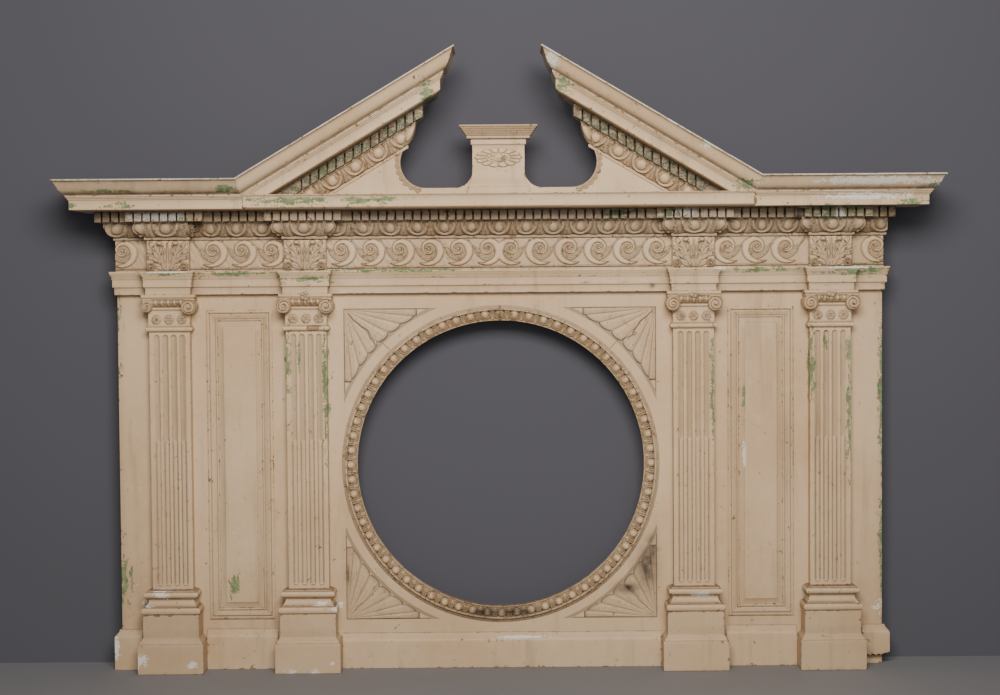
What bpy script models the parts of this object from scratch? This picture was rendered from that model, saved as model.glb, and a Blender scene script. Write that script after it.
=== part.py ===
"""Carved and painted wooden overmantel: a round opening between four fluted Ionic
pilasters, under a full entablature and a broken pediment.

Metres, +Z up. The front faces -Y, and the origin is the middle of the underside.
A depth is measured forwards from the front face of the back board.
"""
import math

import bpy
import bmesh
from mathutils import Matrix

# Joints between pieces that touch, and the distance at which points are merged
GAP = 0.0003
MERGE = 0.00001

# Round opening, and the square that its four shells fill
OPEN_R = 0.4005
SQUARE_OUT = 0.0375
SQUARE_LOW = 0.1325
SQUARE_TOP_MARGIN = 0.0415
BAND_W = 0.0295
SHELL_LOBES = 8

# Back board and the bays between the pilasters
BOARD_T = 0.025
BOARD_MARGIN = 0.150
BAY_W = 0.3795
SQUARE_MARGIN = 0.043

# Pilaster shafts
SHAFT_HALF = 0.0565
SHAFT_DEPTH = 0.032

# Heights of the courses, from the ground up
PLINTH_H = 0.083
PLINTH_OGEE_H = 0.017
DIE_H = 0.063
BASE_H = 0.0655
CAPITAL_H = 0.103
ARCHITRAVE_H = 0.0646
FRIEZE_H = 0.0863
BED_H = 0.0496
DENTIL_H = 0.0285
CORONA_H = 0.0405
SIMA_H = 0.043

# Pedestals: half widths, and how much less they project than they are wide
PLINTH_HALF = 0.0905
DIE_HALF = 0.0775
PEDESTAL_SETBACK = 0.0065

# Entablature: the plane of the frieze between the pilasters and over them
RECESS = 0.017
FORWARD = 0.047
BLOCK_HALF = 0.0585

# Projections beyond those planes
ARCHITRAVE_OUT = 0.0155
OVOLO_OUT = 0.0255
DENTIL_OUT = 0.0465
CORONA_OUT = 0.097
SIMA_OUT = 0.136

# Dentils
DENTIL_PITCH = 0.0237
DENTIL_SLIT = 0.0045
DENTIL_SLIT_DEPTH = 0.0165
DENTIL_TOP_STRIP = 0.0045
LOST_DENTIL_RUN = 7

# Eggs of the level course
EGG_PITCH = 0.0757
EGG_HALF = 0.018

# Pediment: its slope, where it leaves the level cornice and where it breaks off
RAKE_DEG = 30.65
RAKE_SETBACK = 0.358
RAKE_END = 0.2530
CENTRE_SETBACK = 0.016
CENTRE_STEP = 0.003
TYMPANUM_T = 0.025
BAY_R = 0.0705
BAY_INSET = 0.0525
BAY_FOOT_R = 0.0505
BAY_STRIP = 0.019
FINIAL_HALF = 0.0718
FINIAL_H = 0.1885
FINIAL_OUT = 0.012
CAP_H = 0.0365

# Oval flower on the block
FLOWER_HALF_W = 0.066
FLOWER_HALF_H = 0.0285
FLOWER_RISE = 0.101
PETALS = 10

# Skirting
SKIRT_H = 0.0895
SKIRT_OGEE_H = 0.0215
SKIRT_OUT = 0.0185
SKIRT_CENTRE_DROP = 0.0145
SKIRT_BREAK = 0.0265

# Ring round the opening
RING_W = 0.043
RING_EGGS = 64

# Side panels
PANEL_MARGIN = 0.0414
PANEL_LOW = 0.1385
PANEL_TOP_MARGIN = 0.0442
PANEL_FRAME_W = 0.031
FIELD_BEVEL = 0.0165
FIELD_OUT = 0.006

# Flutes of the shafts, with reeds in their lower half
FLUTES = 4
FLUTE_PITCH = 0.0241
FLUTE_HALF = 0.0066
FLUTE_DEPTH = 0.0055
FLUTE_LOW = 0.010
CABLE_H = 0.4015
FLUTE_TOP_GAP = 0.0085

# Volutes and flowers of the capitals
ECHINUS_H = 0.0435
VOLUTE_X = 0.0565
VOLUTE_R = 0.0235
VOLUTE_DROP = 0.034
VOLUTE_OUT = 0.058
FLOWER_PITCH = 0.035
FLOWER_R = 0.0115

# Wave scroll of the frieze
WAVE_PITCH = 0.0812
WAVE_SHIFT = 0.0115
WAVE_OFFSET = 0.41
WAVE_EYE_DROP = 0.0295
WAVE_R = 0.0215
WAVE_TURNS = 1.35

# Damage: what is lost at the right end, on two pilaster breaks and of one volute
RIGHT_DENTIL_STUB = 0.0235
RIGHT_OVOLO_STUB = 0.0075
WORN_VOLUTE_R = 0.0150

# Worked out from the above
SQUARE_HALF = OPEN_R + SQUARE_OUT
OPEN_Z = SQUARE_LOW + SQUARE_HALF
BAND_R = OPEN_R + RING_W + BAND_W
INNER_PILASTER = SQUARE_HALF + SQUARE_MARGIN + SHAFT_HALF
OUTER_PILASTER = INNER_PILASTER + BAY_W
BOARD_HALF = OUTER_PILASTER + BOARD_MARGIN
PANEL_HALF = BAY_W / 2 - SHAFT_HALF - PANEL_MARGIN
PILASTERS = (-OUTER_PILASTER, -INNER_PILASTER, INNER_PILASTER, OUTER_PILASTER)
FRONT_REACH = FORWARD + SIMA_OUT
FACE_Y = (FRONT_REACH - BOARD_T) / 2
BACK = -BOARD_T
Z_DIE = PLINTH_H + PLINTH_OGEE_H
Z_BASE = Z_DIE + DIE_H
Z_SHAFT = Z_BASE + BASE_H
Z_ARCHITRAVE = SQUARE_LOW + 2 * SQUARE_HALF + SQUARE_TOP_MARGIN
Z_CAPITAL = Z_ARCHITRAVE - CAPITAL_H
Z_FRIEZE = Z_ARCHITRAVE + ARCHITRAVE_H
Z_BED = Z_FRIEZE + FRIEZE_H
Z_DENTIL = Z_BED + BED_H
Z_CORONA = Z_DENTIL + DENTIL_H
Z_SIMA = Z_CORONA + CORONA_H
Z_TOP = Z_SIMA + SIMA_H
RAKE = math.radians(RAKE_DEG)
TAN = math.tan(RAKE)
COS = math.cos(RAKE)
BAY_CENTRE_X = (OUTER_PILASTER + INNER_PILASTER) / 2
RAKE_FOOT = BOARD_HALF - RAKE_SETBACK
CENTRE_HALF = RAKE_FOOT - CENTRE_SETBACK

PAINT = (0.60, 0.49, 0.36)


def clear_scene():
    for old in list(bpy.data.objects):
        bpy.data.objects.remove(old)


def make_collection(name):
    collection = bpy.data.collections.new(name)
    bpy.context.scene.collection.children.link(collection)
    return collection


def make_material(name, colour, roughness):
    material = bpy.data.materials.new(name)
    material.use_nodes = True
    shader = material.node_tree.nodes["Principled BSDF"]
    shader.inputs["Base Color"].default_value = (*colour, 1.0)
    shader.inputs["Roughness"].default_value = roughness
    shader.inputs["Metallic"].default_value = 0.0
    return material


def add_part(name, bm, colour=PAINT):
    """Puts a bmesh in the parts collection as one named piece with its own material"""
    bmesh.ops.recalc_face_normals(bm, faces=bm.faces)
    mesh = bpy.data.meshes.new(name)
    bm.to_mesh(mesh)
    bm.free()
    mesh.materials.append(make_material(name + "_paint", colour, 0.6))
    part = bpy.data.objects.new(name, mesh)
    PARTS.objects.link(part)
    return part


def add_cutter(name, bm):
    """Puts a bmesh among the cutters, which the model leaves out"""
    bmesh.ops.recalc_face_normals(bm, faces=bm.faces)
    mesh = bpy.data.meshes.new(name)
    bm.to_mesh(mesh)
    bm.free()
    cutter = bpy.data.objects.new(name, mesh)
    cutter.hide_render = True
    cutter.display_type = "WIRE"
    CUTTERS.objects.link(cutter)
    return cutter


def combine(part, tool, operation):
    modifier = part.modifiers.new(tool.name, "BOOLEAN")
    modifier.operation = operation
    modifier.solver = "EXACT"
    modifier.object = tool
    modifier.use_self = operation == "UNION"
    return part


def loft(rings, closed=False):
    """bmesh of a solid through rings with the same number of points, capped unless closed"""
    bm = bmesh.new()
    rows = [[bm.verts.new(point) for point in ring] for ring in rings]
    count = len(rows[0])
    pairs = list(zip(rows, rows[1:]))
    if closed:
        pairs.append((rows[-1], rows[0]))
    for low, high in pairs:
        for i in range(count):
            j = (i + 1) % count
            bm.faces.new((low[i], low[j], high[j], high[i]))
    if not closed:
        bm.faces.new(rows[0][::-1])
        bm.faces.new(rows[-1])
    bmesh.ops.remove_doubles(bm, verts=bm.verts, dist=MERGE)
    return bm


def at(x, depth, z):
    """World point of a place given by its depth in front of the board"""
    return (x, FACE_Y - depth, z)


def stack(rows, plan):
    """bmesh of a level moulding: rows of (height, projection) over a plan outline"""
    rings = []
    for z, out in rows:
        rings.append([at(x, depth, z) for x, depth in plan(out)])
    return loft(rings)


def box(x0, x1, depth0, depth1, z0, z1):
    bm = bmesh.new()
    centre = at((x0 + x1) / 2, (depth0 + depth1) / 2, (z0 + z1) / 2)
    size = (abs(x1 - x0), abs(depth1 - depth0), abs(z1 - z0), 1.0)
    bmesh.ops.create_cube(bm, size=1.0, matrix=Matrix.Translation(centre) @ Matrix.Diagonal(size))
    return bm


def curve_steps(count):
    return [i / count for i in range(count + 1)]


def ogee(z0, out0, z1, out1, count=6):
    """S curve between two points of a profile, flat where it leaves each"""
    rows = []
    for t in curve_steps(count):
        s = t * t * (3 - 2 * t)
        rows.append((z0 + (z1 - z0) * t, out0 + (out1 - out0) * s))
    return rows


def bulge(z0, z1, out0, out, count=4):
    """Half round between two heights, standing out from out0 to out"""
    rows = []
    for t in curve_steps(count):
        angle = math.pi * t
        z = (z0 + z1) / 2 - math.cos(angle) * (z1 - z0) / 2
        rows.append((z, out0 + (out - out0) * math.sin(angle)))
    return rows


def pier_plan(centre, half, depth, back=GAP):
    """Plan of a piece that stands against the board, grown on three sides"""
    def plan(out):
        x0 = centre - half - out
        x1 = centre + half + out
        return [(x0, back), (x0, depth + out), (x1, depth + out), (x1, back)]
    return plan


# Back board

def back_board():
    part = add_part("back_board", box(-BOARD_HALF, BOARD_HALF, BACK, 0.0, 0.0, Z_CORONA - GAP))
    bm = bmesh.new()
    turn = Matrix.Translation(at(0.0, BACK / 2, OPEN_Z)) @ Matrix.Rotation(math.pi / 2, 4, "X")
    bmesh.ops.create_cone(bm, cap_ends=True, segments=48, radius1=OPEN_R + 0.002,
                          radius2=OPEN_R + 0.002, depth=BOARD_T * 3, matrix=turn)
    combine(part, add_cutter("opening_cut", bm), "DIFFERENCE")


# Ring round the opening, with eggs leaning in towards it

def ring():
    inner = OPEN_R
    outer = OPEN_R + RING_W
    crest = outer - 0.0105
    rings = []
    steps = RING_EGGS * 2
    for k in range(steps):
        angle = 2 * math.pi * k / steps
        lift = 0.0175 if k % 2 == 0 else 0.0090
        profile = [(inner, GAP), (inner, 0.0090), ((inner + crest) / 2, lift), (crest, 0.0170), (outer, GAP)]
        row = []
        for radius, depth in profile:
            row.append(at(radius * math.cos(angle), depth, OPEN_Z + radius * math.sin(angle)))
        rings.append(row)
    add_part("ring", loft(rings, closed=True))


# Shells in the four corners of the square round the ring

def shell_edge(angle):
    """Distance from the square's corner to the shell's scalloped edge"""
    corner = SQUARE_HALF
    c = corner * (math.cos(angle) + math.sin(angle))
    reach = c - math.sqrt(max(c * c - (2 * corner * corner - BAND_R * BAND_R), 0.0))
    scallop = 0.010 * abs(math.sin(SHELL_LOBES * angle))
    return reach - 0.012 + scallop


def shell(name, sx, sz):
    """Fan of shallow flutes from the square's corner, flat behind"""
    margin = math.radians(7.0)
    count = SHELL_LOBES * 2
    corner = SQUARE_HALF - 0.004
    bm = bmesh.new()

    def place(angle, share, depth):
        reach = shell_edge(angle) * share
        x = corner - reach * math.cos(angle)
        z = corner - reach * math.sin(angle)
        return bm.verts.new(at(sx * x, depth, OPEN_Z + sz * z))

    tip = place(0.0, 0.0, 0.0025)
    tip_back = place(0.0, 0.0, GAP)
    angles = [margin + (math.pi / 2 - 2 * margin) * k / count for k in range(count + 1)]
    ridges = [0.0040 if k % 2 == 0 else 0.0080 for k in range(count + 1)]
    middle = [place(angle, 0.6, ridge) for angle, ridge in zip(angles, ridges)]
    edge = [place(angle, 1.0, ridge) for angle, ridge in zip(angles, ridges)]
    back = [place(angle, 1.0, GAP) for angle in angles]
    for k in range(count):
        bm.faces.new((tip, middle[k], middle[k + 1]))
        bm.faces.new((middle[k], edge[k], edge[k + 1], middle[k + 1]))
        bm.faces.new((edge[k], back[k], back[k + 1], edge[k + 1]))
    bm.faces.new((tip, tip_back, back[0], edge[0], middle[0]))
    bm.faces.new((tip_back, tip, middle[-1], edge[-1], back[-1]))
    bm.faces.new([tip_back] + back[::-1])
    add_part(name, bm)


# Side panels: a moulded frame and a raised field in each

def panel(name, centre):
    half = PANEL_HALF
    high = Z_ARCHITRAVE - PANEL_TOP_MARGIN
    middle = (PANEL_LOW + high) / 2
    tall = (high - PANEL_LOW) / 2

    def outline(inset, depth):
        x = half - inset
        z = tall - inset
        return [at(centre - x, depth, middle - z), at(centre + x, depth, middle - z),
                at(centre + x, depth, middle + z), at(centre - x, depth, middle + z)]

    width = PANEL_FRAME_W
    frame = [outline(0.0, GAP), outline(0.0, 0.0035), outline(0.004, 0.0065), outline(0.010, 0.0065),
             outline(width * 0.65, 0.0030), outline(width - 0.004, 0.0045), outline(width, 0.0030),
             outline(width, GAP)]
    add_part("panel_frame_" + name, loft(frame, closed=True))
    inset = width + GAP
    field = [outline(inset, GAP), outline(inset, 0.0015), outline(inset + FIELD_BEVEL, FIELD_OUT - 0.001),
             outline(inset + FIELD_BEVEL, FIELD_OUT)]
    add_part("fielded_panel_" + name, loft(field))


# Skirting between the pedestals and round both ends

def skirting_rows(bottom, top):
    rows = [(bottom, SKIRT_OUT)]
    return rows + ogee(top, SKIRT_OUT, top + SKIRT_OGEE_H, 0.006, 5)


def skirting():
    clear = PLINTH_HALF + GAP
    runs = {
        "skirting_left_bay": (-OUTER_PILASTER + clear, -INNER_PILASTER - clear, SKIRT_H),
        "skirting_centre": (-INNER_PILASTER + clear, INNER_PILASTER - clear,
                            SKIRT_H - SKIRT_CENTRE_DROP),
        "skirting_right_bay": (INNER_PILASTER + clear, OUTER_PILASTER - clear, SKIRT_H),
    }
    for name, (x0, x1, top) in runs.items():
        def straight(out, x0=x0, x1=x1):
            return [(x0, GAP), (x0, out), (x1, out), (x1, GAP)]
        add_part(name, stack(skirting_rows(0.0, top), straight))

    for name, side, bottom in (("skirting_left_end", -1, 0.0), ("skirting_right_end", 1, SKIRT_BREAK)):
        inner = side * (OUTER_PILASTER + clear)
        edge = BOARD_HALF

        def wrapped(out, side=side, inner=inner):
            return [(inner, GAP), (inner, out), (side * (edge + out), out), (side * (edge + out), BACK),
                    (side * (edge + GAP), BACK), (side * (edge + GAP), GAP)]
        add_part(name, stack(skirting_rows(bottom, SKIRT_H), wrapped))


# Pedestals, attic bases, fluted shafts and Ionic capitals

def pedestal(index, centre):
    depth = DIE_HALF - PEDESTAL_SETBACK
    step = PLINTH_HALF - DIE_HALF
    rows = [(0.0, step), (PLINTH_H, step)]
    rows += ogee(PLINTH_H, step - 0.002, Z_DIE, 0.0, 5)
    rows.append((Z_BASE - GAP, 0.0))
    add_part("pedestal_%d" % index, stack(rows, pier_plan(centre, DIE_HALF, depth)))


def base(index, centre):
    depth = DIE_HALF - PEDESTAL_SETBACK
    lower = Z_BASE + 0.0205
    upper = Z_SHAFT - 0.0195
    rows = bulge(Z_BASE, lower, -0.003, 0.004)
    rows += [(lower, -0.006), (lower + 0.004, -0.006)]
    rows += ogee(lower + 0.004, -0.006, upper - 0.004, -0.0145, 4)
    rows += [(upper, -0.0145), (upper, -0.010)]
    rows += bulge(upper, Z_SHAFT - GAP, -0.010, -0.0025)
    rows.append((Z_SHAFT - GAP, -0.016))
    add_part("base_%d" % index, stack(rows, pier_plan(centre, DIE_HALF, depth)))


def shaft_outline(centre, z, width, hollow, cable):
    """Plan of a shaft at one height: hollow flutes, or reeds that nearly fill them"""
    points = [(centre - SHAFT_HALF, GAP), (centre - SHAFT_HALF, SHAFT_DEPTH)]
    for k in range(FLUTES):
        middle = centre + (k - (FLUTES - 1) / 2) * FLUTE_PITCH
        half = max(FLUTE_HALF * width, 0.0004)
        inner = 0.75 if cable else 0.45
        floor = hollow * (0.35 if cable else 1.0)
        points += [(middle - half, SHAFT_DEPTH), (middle - half * inner, SHAFT_DEPTH - floor),
                   (middle + half * inner, SHAFT_DEPTH - floor), (middle + half, SHAFT_DEPTH)]
    points += [(centre + SHAFT_HALF, SHAFT_DEPTH), (centre + SHAFT_HALF, GAP)]
    return [at(x, depth, z) for x, depth in points]


def shaft(index, centre):
    low = Z_SHAFT + FLUTE_LOW
    reed = Z_SHAFT + FLUTE_LOW + CABLE_H
    top = Z_CAPITAL - FLUTE_TOP_GAP
    sections = [
        (Z_SHAFT, 0.1, 0.0, True), (low, 0.9, 0.0, True), (low + 0.001, 1.0, FLUTE_DEPTH, True),
        (reed, 1.0, FLUTE_DEPTH, True), (reed + 0.003, 1.0, FLUTE_DEPTH, False),
        (top - FLUTE_HALF, 1.0, FLUTE_DEPTH, False), (top - FLUTE_HALF * 0.4, 0.8, FLUTE_DEPTH * 0.8, False),
        (top, 0.2, 0.0, False), (Z_CAPITAL - GAP, 0.1, 0.0, False),
    ]
    rings = [shaft_outline(centre, z, width, hollow, cable) for z, width, hollow, cable in sections]
    add_part("shaft_%d" % index, loft(rings))


def add_spiral(bm, cx, cz, turn, radius, turns, start, width, depth0, depth1, count):
    """Adds a raised band that winds in round (cx, cz), with a sharp crest, thinning to its eye"""
    rows = []
    for t in curve_steps(count):
        angle = start + turn * 2 * math.pi * turns * t
        middle = radius * (1 - 0.78 * t)
        half = width / 2 * (1 - 0.55 * t)
        section = ((middle + half, depth0), (middle, depth1), (middle - half, depth0))
        rows.append([bm.verts.new(at(cx + r * math.cos(angle), depth, cz + r * math.sin(angle)))
                     for r, depth in section])
    for low, high in zip(rows, rows[1:]):
        for i in range(3):
            j = (i + 1) % 3
            bm.faces.new((low[i], low[j], high[j], high[i]))
    bm.faces.new(rows[0][::-1])
    bm.faces.new(rows[-1])


def add_disc(bm, x, z, radius, depth0, depth1, sides):
    """Adds a short cylinder that stands out from the board, a little narrower in front"""
    place = Matrix.Translation(at(x, (depth0 + depth1) / 2, z)) @ Matrix.Rotation(math.pi / 2, 4, "X")
    bmesh.ops.create_cone(bm, cap_ends=True, segments=sides, radius1=radius, radius2=radius * 0.9,
                          depth=abs(depth1 - depth0), matrix=place)


def capital(index, centre):
    """Ionic capital: a flowered neck, an echinus between two volutes, and an abacus"""
    z = Z_CAPITAL
    rows = bulge(z, z + 0.0145, 0.003, 0.0085, 3)
    neck = Z_ARCHITRAVE - ECHINUS_H
    rows += [(z + 0.0165, 0.001), (neck, 0.001), (neck + 0.004, 0.006), (neck + 0.0095, 0.003),
             (neck + 0.0115, 0.005), (neck + 0.029, 0.017), (neck + 0.030, 0.012), (neck + 0.0335, 0.013),
             (neck + 0.037, 0.018), (Z_ARCHITRAVE - GAP, 0.018)]
    part = add_part("capital_%d" % index, stack(rows, pier_plan(centre, SHAFT_HALF, SHAFT_DEPTH + 0.002)))

    eye_z = Z_ARCHITRAVE - VOLUTE_DROP
    bolsters = bmesh.new()
    curls = bmesh.new()
    for side in (-1, 1):
        x = centre + side * VOLUTE_X
        radius = WORN_VOLUTE_R if (index, side) == (1, -1) else VOLUTE_R
        add_disc(bolsters, x, eye_z, radius, 0.010, VOLUTE_OUT, 10)
        add_spiral(curls, x, eye_z, -side, radius * 0.86, 1.5, math.pi / 2, 0.007,
                   VOLUTE_OUT - 0.002, VOLUTE_OUT + 0.007, 8)
    combine(part, add_cutter("bolsters_%d" % index, bolsters), "UNION")
    combine(part, add_cutter("curls_%d" % index, curls), "UNION")
    flowers = bmesh.new()
    for k in (-1, 0, 1):
        add_disc(flowers, centre + k * FLOWER_PITCH, (z + neck + 0.0065) / 2, FLOWER_R, 0.030, 0.0385, 6)
    combine(part, add_cutter("flowers_%d" % index, flowers), "UNION")


# Entablature: courses that break forward over the pilasters

def break_plan(out, right_cut=None, toothed=None):
    """Plan outline of a course, grown outwards by out, wrapped round the board's ends"""
    edge = BOARD_HALF
    inner = edge + GAP
    fronts = []
    cursor = -edge - out
    for centre in PILASTERS:
        fronts.append((cursor, centre - BLOCK_HALF - out, RECESS + out))
        fronts.append((centre - BLOCK_HALF - out, centre + BLOCK_HALF + out, FORWARD + out))
        cursor = centre + BLOCK_HALF + out
    end = edge + out if right_cut is None else right_cut
    fronts.append((cursor, end, RECESS + out))
    points = [(-edge - out, BACK)]
    for k, (x0, x1, depth) in enumerate(fronts):
        points.append((x0, depth))
        if toothed:
            points += toothed(k, x0, x1, depth)
        points.append((x1, depth))
    if right_cut is None:
        points += [(end, BACK), (inner, BACK), (inner, GAP)]
    else:
        points.append((end, GAP))
    points += [(-inner, GAP), (-inner, BACK)]
    return points


def architrave():
    rows = [(Z_ARCHITRAVE, 0.004), (Z_ARCHITRAVE + 0.0185, 0.004), (Z_ARCHITRAVE + 0.0205, 0.0085),
            (Z_ARCHITRAVE + 0.041, 0.0085)]
    rows += ogee(Z_ARCHITRAVE + 0.0435, 0.0100, Z_FRIEZE - 0.0065, ARCHITRAVE_OUT - 0.001, 3)
    rows += [(Z_FRIEZE - 0.0060, ARCHITRAVE_OUT), (Z_FRIEZE - GAP, ARCHITRAVE_OUT)]
    add_part("architrave", stack(rows, break_plan))


def wave_centres():
    """Places of the wave scrolls along the frieze, each with the side it curls to"""
    waves = []
    room = INNER_PILASTER - BLOCK_HALF - WAVE_R
    for k in range(int(room / WAVE_PITCH - WAVE_OFFSET) + 1):
        x = (k + WAVE_OFFSET) * WAVE_PITCH
        waves += [(-x, -1), (x, 1)]
    more = int((BAY_W / 2 - BLOCK_HALF - WAVE_R) / WAVE_PITCH)
    for k in range(-more, more + 1):
        x = BAY_CENTRE_X - WAVE_SHIFT + k * WAVE_PITCH
        waves += [(x, 1), (-x, -1)]
    end = BOARD_HALF - WAVE_R - 0.005
    waves += [(end, 1), (-end, -1)]
    return waves


def frieze():
    """Flat board with a running wave scroll raised on it"""
    part = add_part("frieze", box(-BOARD_HALF, BOARD_HALF, GAP, RECESS, Z_FRIEZE, Z_BED - GAP))
    waves = bmesh.new()
    eye_z = Z_BED - WAVE_EYE_DROP
    for x, side in wave_centres():
        add_spiral(waves, x, eye_z, -side, WAVE_R, WAVE_TURNS, math.pi / 2 - side * 0.9, 0.010,
                   RECESS - 0.003, RECESS + 0.006, 7)
    combine(part, add_cutter("wave_scrolls", waves), "UNION")


def leaf_height(u, v):
    """Relief of an acanthus leaf over a unit field: u from -1 to 1, v from 0 to 1"""
    half = 0.42 + 0.45 * math.sin(math.pi * min(v * 0.9 + 0.15, 1.0)) + 0.10 * math.cos(v * 6 * math.pi)
    side = abs(u) / half
    if side > 1:
        return 0.0
    body = 0.6 + 0.4 * math.cos(side * math.pi * 2.5)
    return body * (0.45 + 0.55 * v)


def frieze_block(index, centre):
    z0 = Z_FRIEZE
    z1 = Z_BED - GAP
    count = 7
    bm = bmesh.new()
    grid = []
    flat = []
    for j in range(count):
        row = []
        back = []
        for i in range(count):
            u = -1 + 2 * i / (count - 1)
            v = j / (count - 1)
            edge = i in (0, count - 1) or j in (0, count - 1)
            lift = 0.0 if edge else 0.010 * leaf_height(u, v)
            x = centre + u * BLOCK_HALF
            z = z0 + (z1 - z0) * v
            row.append(bm.verts.new(at(x, FORWARD - 0.003 + lift, z)))
            corner = i in (0, count - 1) and j in (0, count - 1)
            back.append(bm.verts.new(at(x, RECESS + GAP, z)) if corner else None)
        grid.append(row)
        flat.append(back)
    for j in range(count - 1):
        for i in range(count - 1):
            bm.faces.new((grid[j][i], grid[j][i + 1], grid[j + 1][i + 1], grid[j + 1][i]))
    last = count - 1
    a, b, c, d = flat[0][0], flat[0][last], flat[last][last], flat[last][0]
    bm.faces.new((a, d, c, b))
    bm.faces.new([a, b] + grid[0][::-1])
    bm.faces.new([c, d] + grid[last])
    bm.faces.new([d, a] + [row[0] for row in grid])
    bm.faces.new([b, c] + [row[last] for row in grid][::-1])
    part = add_part("frieze_block_%d" % index, bm)
    scrolls = bmesh.new()
    for side in (-1, 1):
        add_disc(scrolls, centre + side * 0.044, z0 + 0.014, 0.0115, FORWARD - 0.008, FORWARD + 0.006, 6)
    combine(part, add_cutter("block_scrolls_%d" % index, scrolls), "UNION")


def egg_places():
    """Middle of each egg of the level course, with the plane that it stands on"""
    edge = BLOCK_HALF + OVOLO_OUT + EGG_HALF
    more = int((INNER_PILASTER - edge) / EGG_PITCH)
    eggs = [(k * EGG_PITCH, RECESS) for k in range(-more, more + 1)]
    bay_pitch = EGG_PITCH - 0.003
    more = int((BAY_W / 2 - edge) / bay_pitch)
    for side in (-1, 1):
        eggs += [(side * (BAY_CENTRE_X + k * bay_pitch), RECESS) for k in range(-more, more + 1)]
        eggs.append((side * (BOARD_HALF - 0.011), RECESS))
    eggs += [(centre, FORWARD) for centre in PILASTERS]
    return eggs


def bed_rows():
    """Fillet and ovolo under the dentils: (height above the frieze, projection)"""
    rows = [(0.0, 0.003), (0.0093, 0.003), (0.0096, 0.0055)]
    low = 0.0096
    high = BED_H - 0.0036
    for t in curve_steps(3)[1:]:
        angle = math.pi / 2 * t
        rows.append((low + (high - low) * (1 - math.cos(angle)) * 0.5 + (high - low) * t * 0.5,
                     0.0055 + (OVOLO_OUT - 0.0055) * math.sin(angle)))
    rows += [(high, OVOLO_OUT + 0.002), (BED_H - GAP, OVOLO_OUT + 0.002)]
    return rows


def add_egg(bm, x, depth, z, tilt):
    place = Matrix.Translation(at(x, depth, z)) @ Matrix.Rotation(tilt, 4, "X")
    shape = Matrix.Diagonal((EGG_HALF, 0.011, 0.0175, 1.0))
    bmesh.ops.create_uvsphere(bm, u_segments=6, v_segments=3, radius=1.0, matrix=place @ shape)


def egg_course():
    rows = [(Z_BED + height, out) for height, out in bed_rows()]
    part = add_part("egg_course", stack(rows, lambda out: break_plan(out, BOARD_HALF + RIGHT_OVOLO_STUB)))
    eggs = bmesh.new()
    for x, plane in egg_places():
        add_egg(eggs, x, plane + 0.0165, Z_BED + 0.0290, 0.75)
    combine(part, add_cutter("eggs", eggs), "UNION")
    corner = -OUTER_PILASTER + BLOCK_HALF
    low = Z_BED + 0.024
    lost = box(corner + 0.004, corner + 0.060, RECESS + 0.040, FORWARD + 0.060, low, Z_DENTIL + 0.01)
    combine(part, add_cutter("lost_ovolo_corner", lost), "DIFFERENCE")


def slit_centres(k, x0, x1):
    """Slits of one front run of dentils, spaced from its middle or from its inner corner"""
    if k == 0:
        return [x1 - DENTIL_PITCH * (i + 1) for i in (2, 1, 0)]
    if k == 8:
        return [x0 + DENTIL_PITCH * (i + 1) for i in range(int((x1 - x0 - 0.012) / DENTIL_PITCH))]
    count = int((x1 - x0 - 0.012) / DENTIL_PITCH)
    middle = (x0 + x1) / 2
    return [middle + (i - (count - 1) / 2) * DENTIL_PITCH for i in range(count)]


def dentil_teeth(k, x0, x1, depth):
    """Saw cuts between the dentils of one front run; one run has lost its first dentil"""
    points = []
    floor = depth - DENTIL_SLIT_DEPTH
    half = DENTIL_SLIT / 2
    slits = [(x - half, x + half) for x in slit_centres(k, x0, x1)]
    if k == LOST_DENTIL_RUN:
        wide = slits.pop(0)[1]
        points += [(x0 + 0.001, depth), (x0 + 0.001, floor), (wide, floor), (wide, depth)]
    for a, b in slits:
        points += [(a, depth), ((a + b) / 2, floor), (b, depth)]
    return points


def filled_teeth(k, x0, x1, depth):
    """The same points with the cuts filled up"""
    return [(x, depth) for x, _ in dentil_teeth(k, x0, x1, depth)]


def dentil_course():
    """Block course sawn into dentils, up to a plain strip under the corona"""
    outline = break_plan(DENTIL_OUT, BOARD_HALF + RIGHT_DENTIL_STUB, dentil_teeth)
    flat = break_plan(DENTIL_OUT, BOARD_HALF + RIGHT_DENTIL_STUB, filled_teeth)
    strip = Z_CORONA - GAP - DENTIL_TOP_STRIP
    rings = [[at(x, depth, z) for x, depth in plan]
             for z, plan in ((Z_DENTIL, outline), (strip, outline), (strip, flat), (Z_CORONA - GAP, flat))]
    add_part("dentil_course", loft(rings))


# Cornice: three lengths of corona, and a sima on each outer length

def corona_rows(drip, face_top):
    """Corona with a drip that is cut back under its face, and two fillets on top"""
    low = Z_CORONA
    return [(low, CORONA_OUT - 0.012), (low + drip, CORONA_OUT), (face_top, CORONA_OUT),
            (face_top, CORONA_OUT + 0.002), (face_top + (Z_SIMA - face_top) / 2, CORONA_OUT + 0.002),
            (face_top + (Z_SIMA - face_top) / 2, CORONA_OUT + 0.0045), (Z_SIMA - GAP, CORONA_OUT + 0.0045)]


def corona():
    inner = CENTRE_HALF + GAP
    for name, side, drip, face_top in (("corona_left", -1, 0.0025, Z_SIMA - 0.008),
                                       ("corona_right", 1, 0.0005, Z_SIMA - 0.009)):
        def end_plan(out, side=side):
            x = side * (BOARD_HALF + out)
            return [(side * inner, BACK), (side * inner, FORWARD + out), (x, FORWARD + out), (x, BACK)]
        add_part(name, stack(corona_rows(drip, face_top), end_plan))

    def middle_plan(out):
        depth = FORWARD + out + CENTRE_STEP
        return [(-CENTRE_HALF, BACK), (-CENTRE_HALF, depth), (CENTRE_HALF, depth), (CENTRE_HALF, BACK)]
    add_part("corona_centre", stack(corona_rows(0.0055, Z_SIMA - 0.005), middle_plan))


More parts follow.
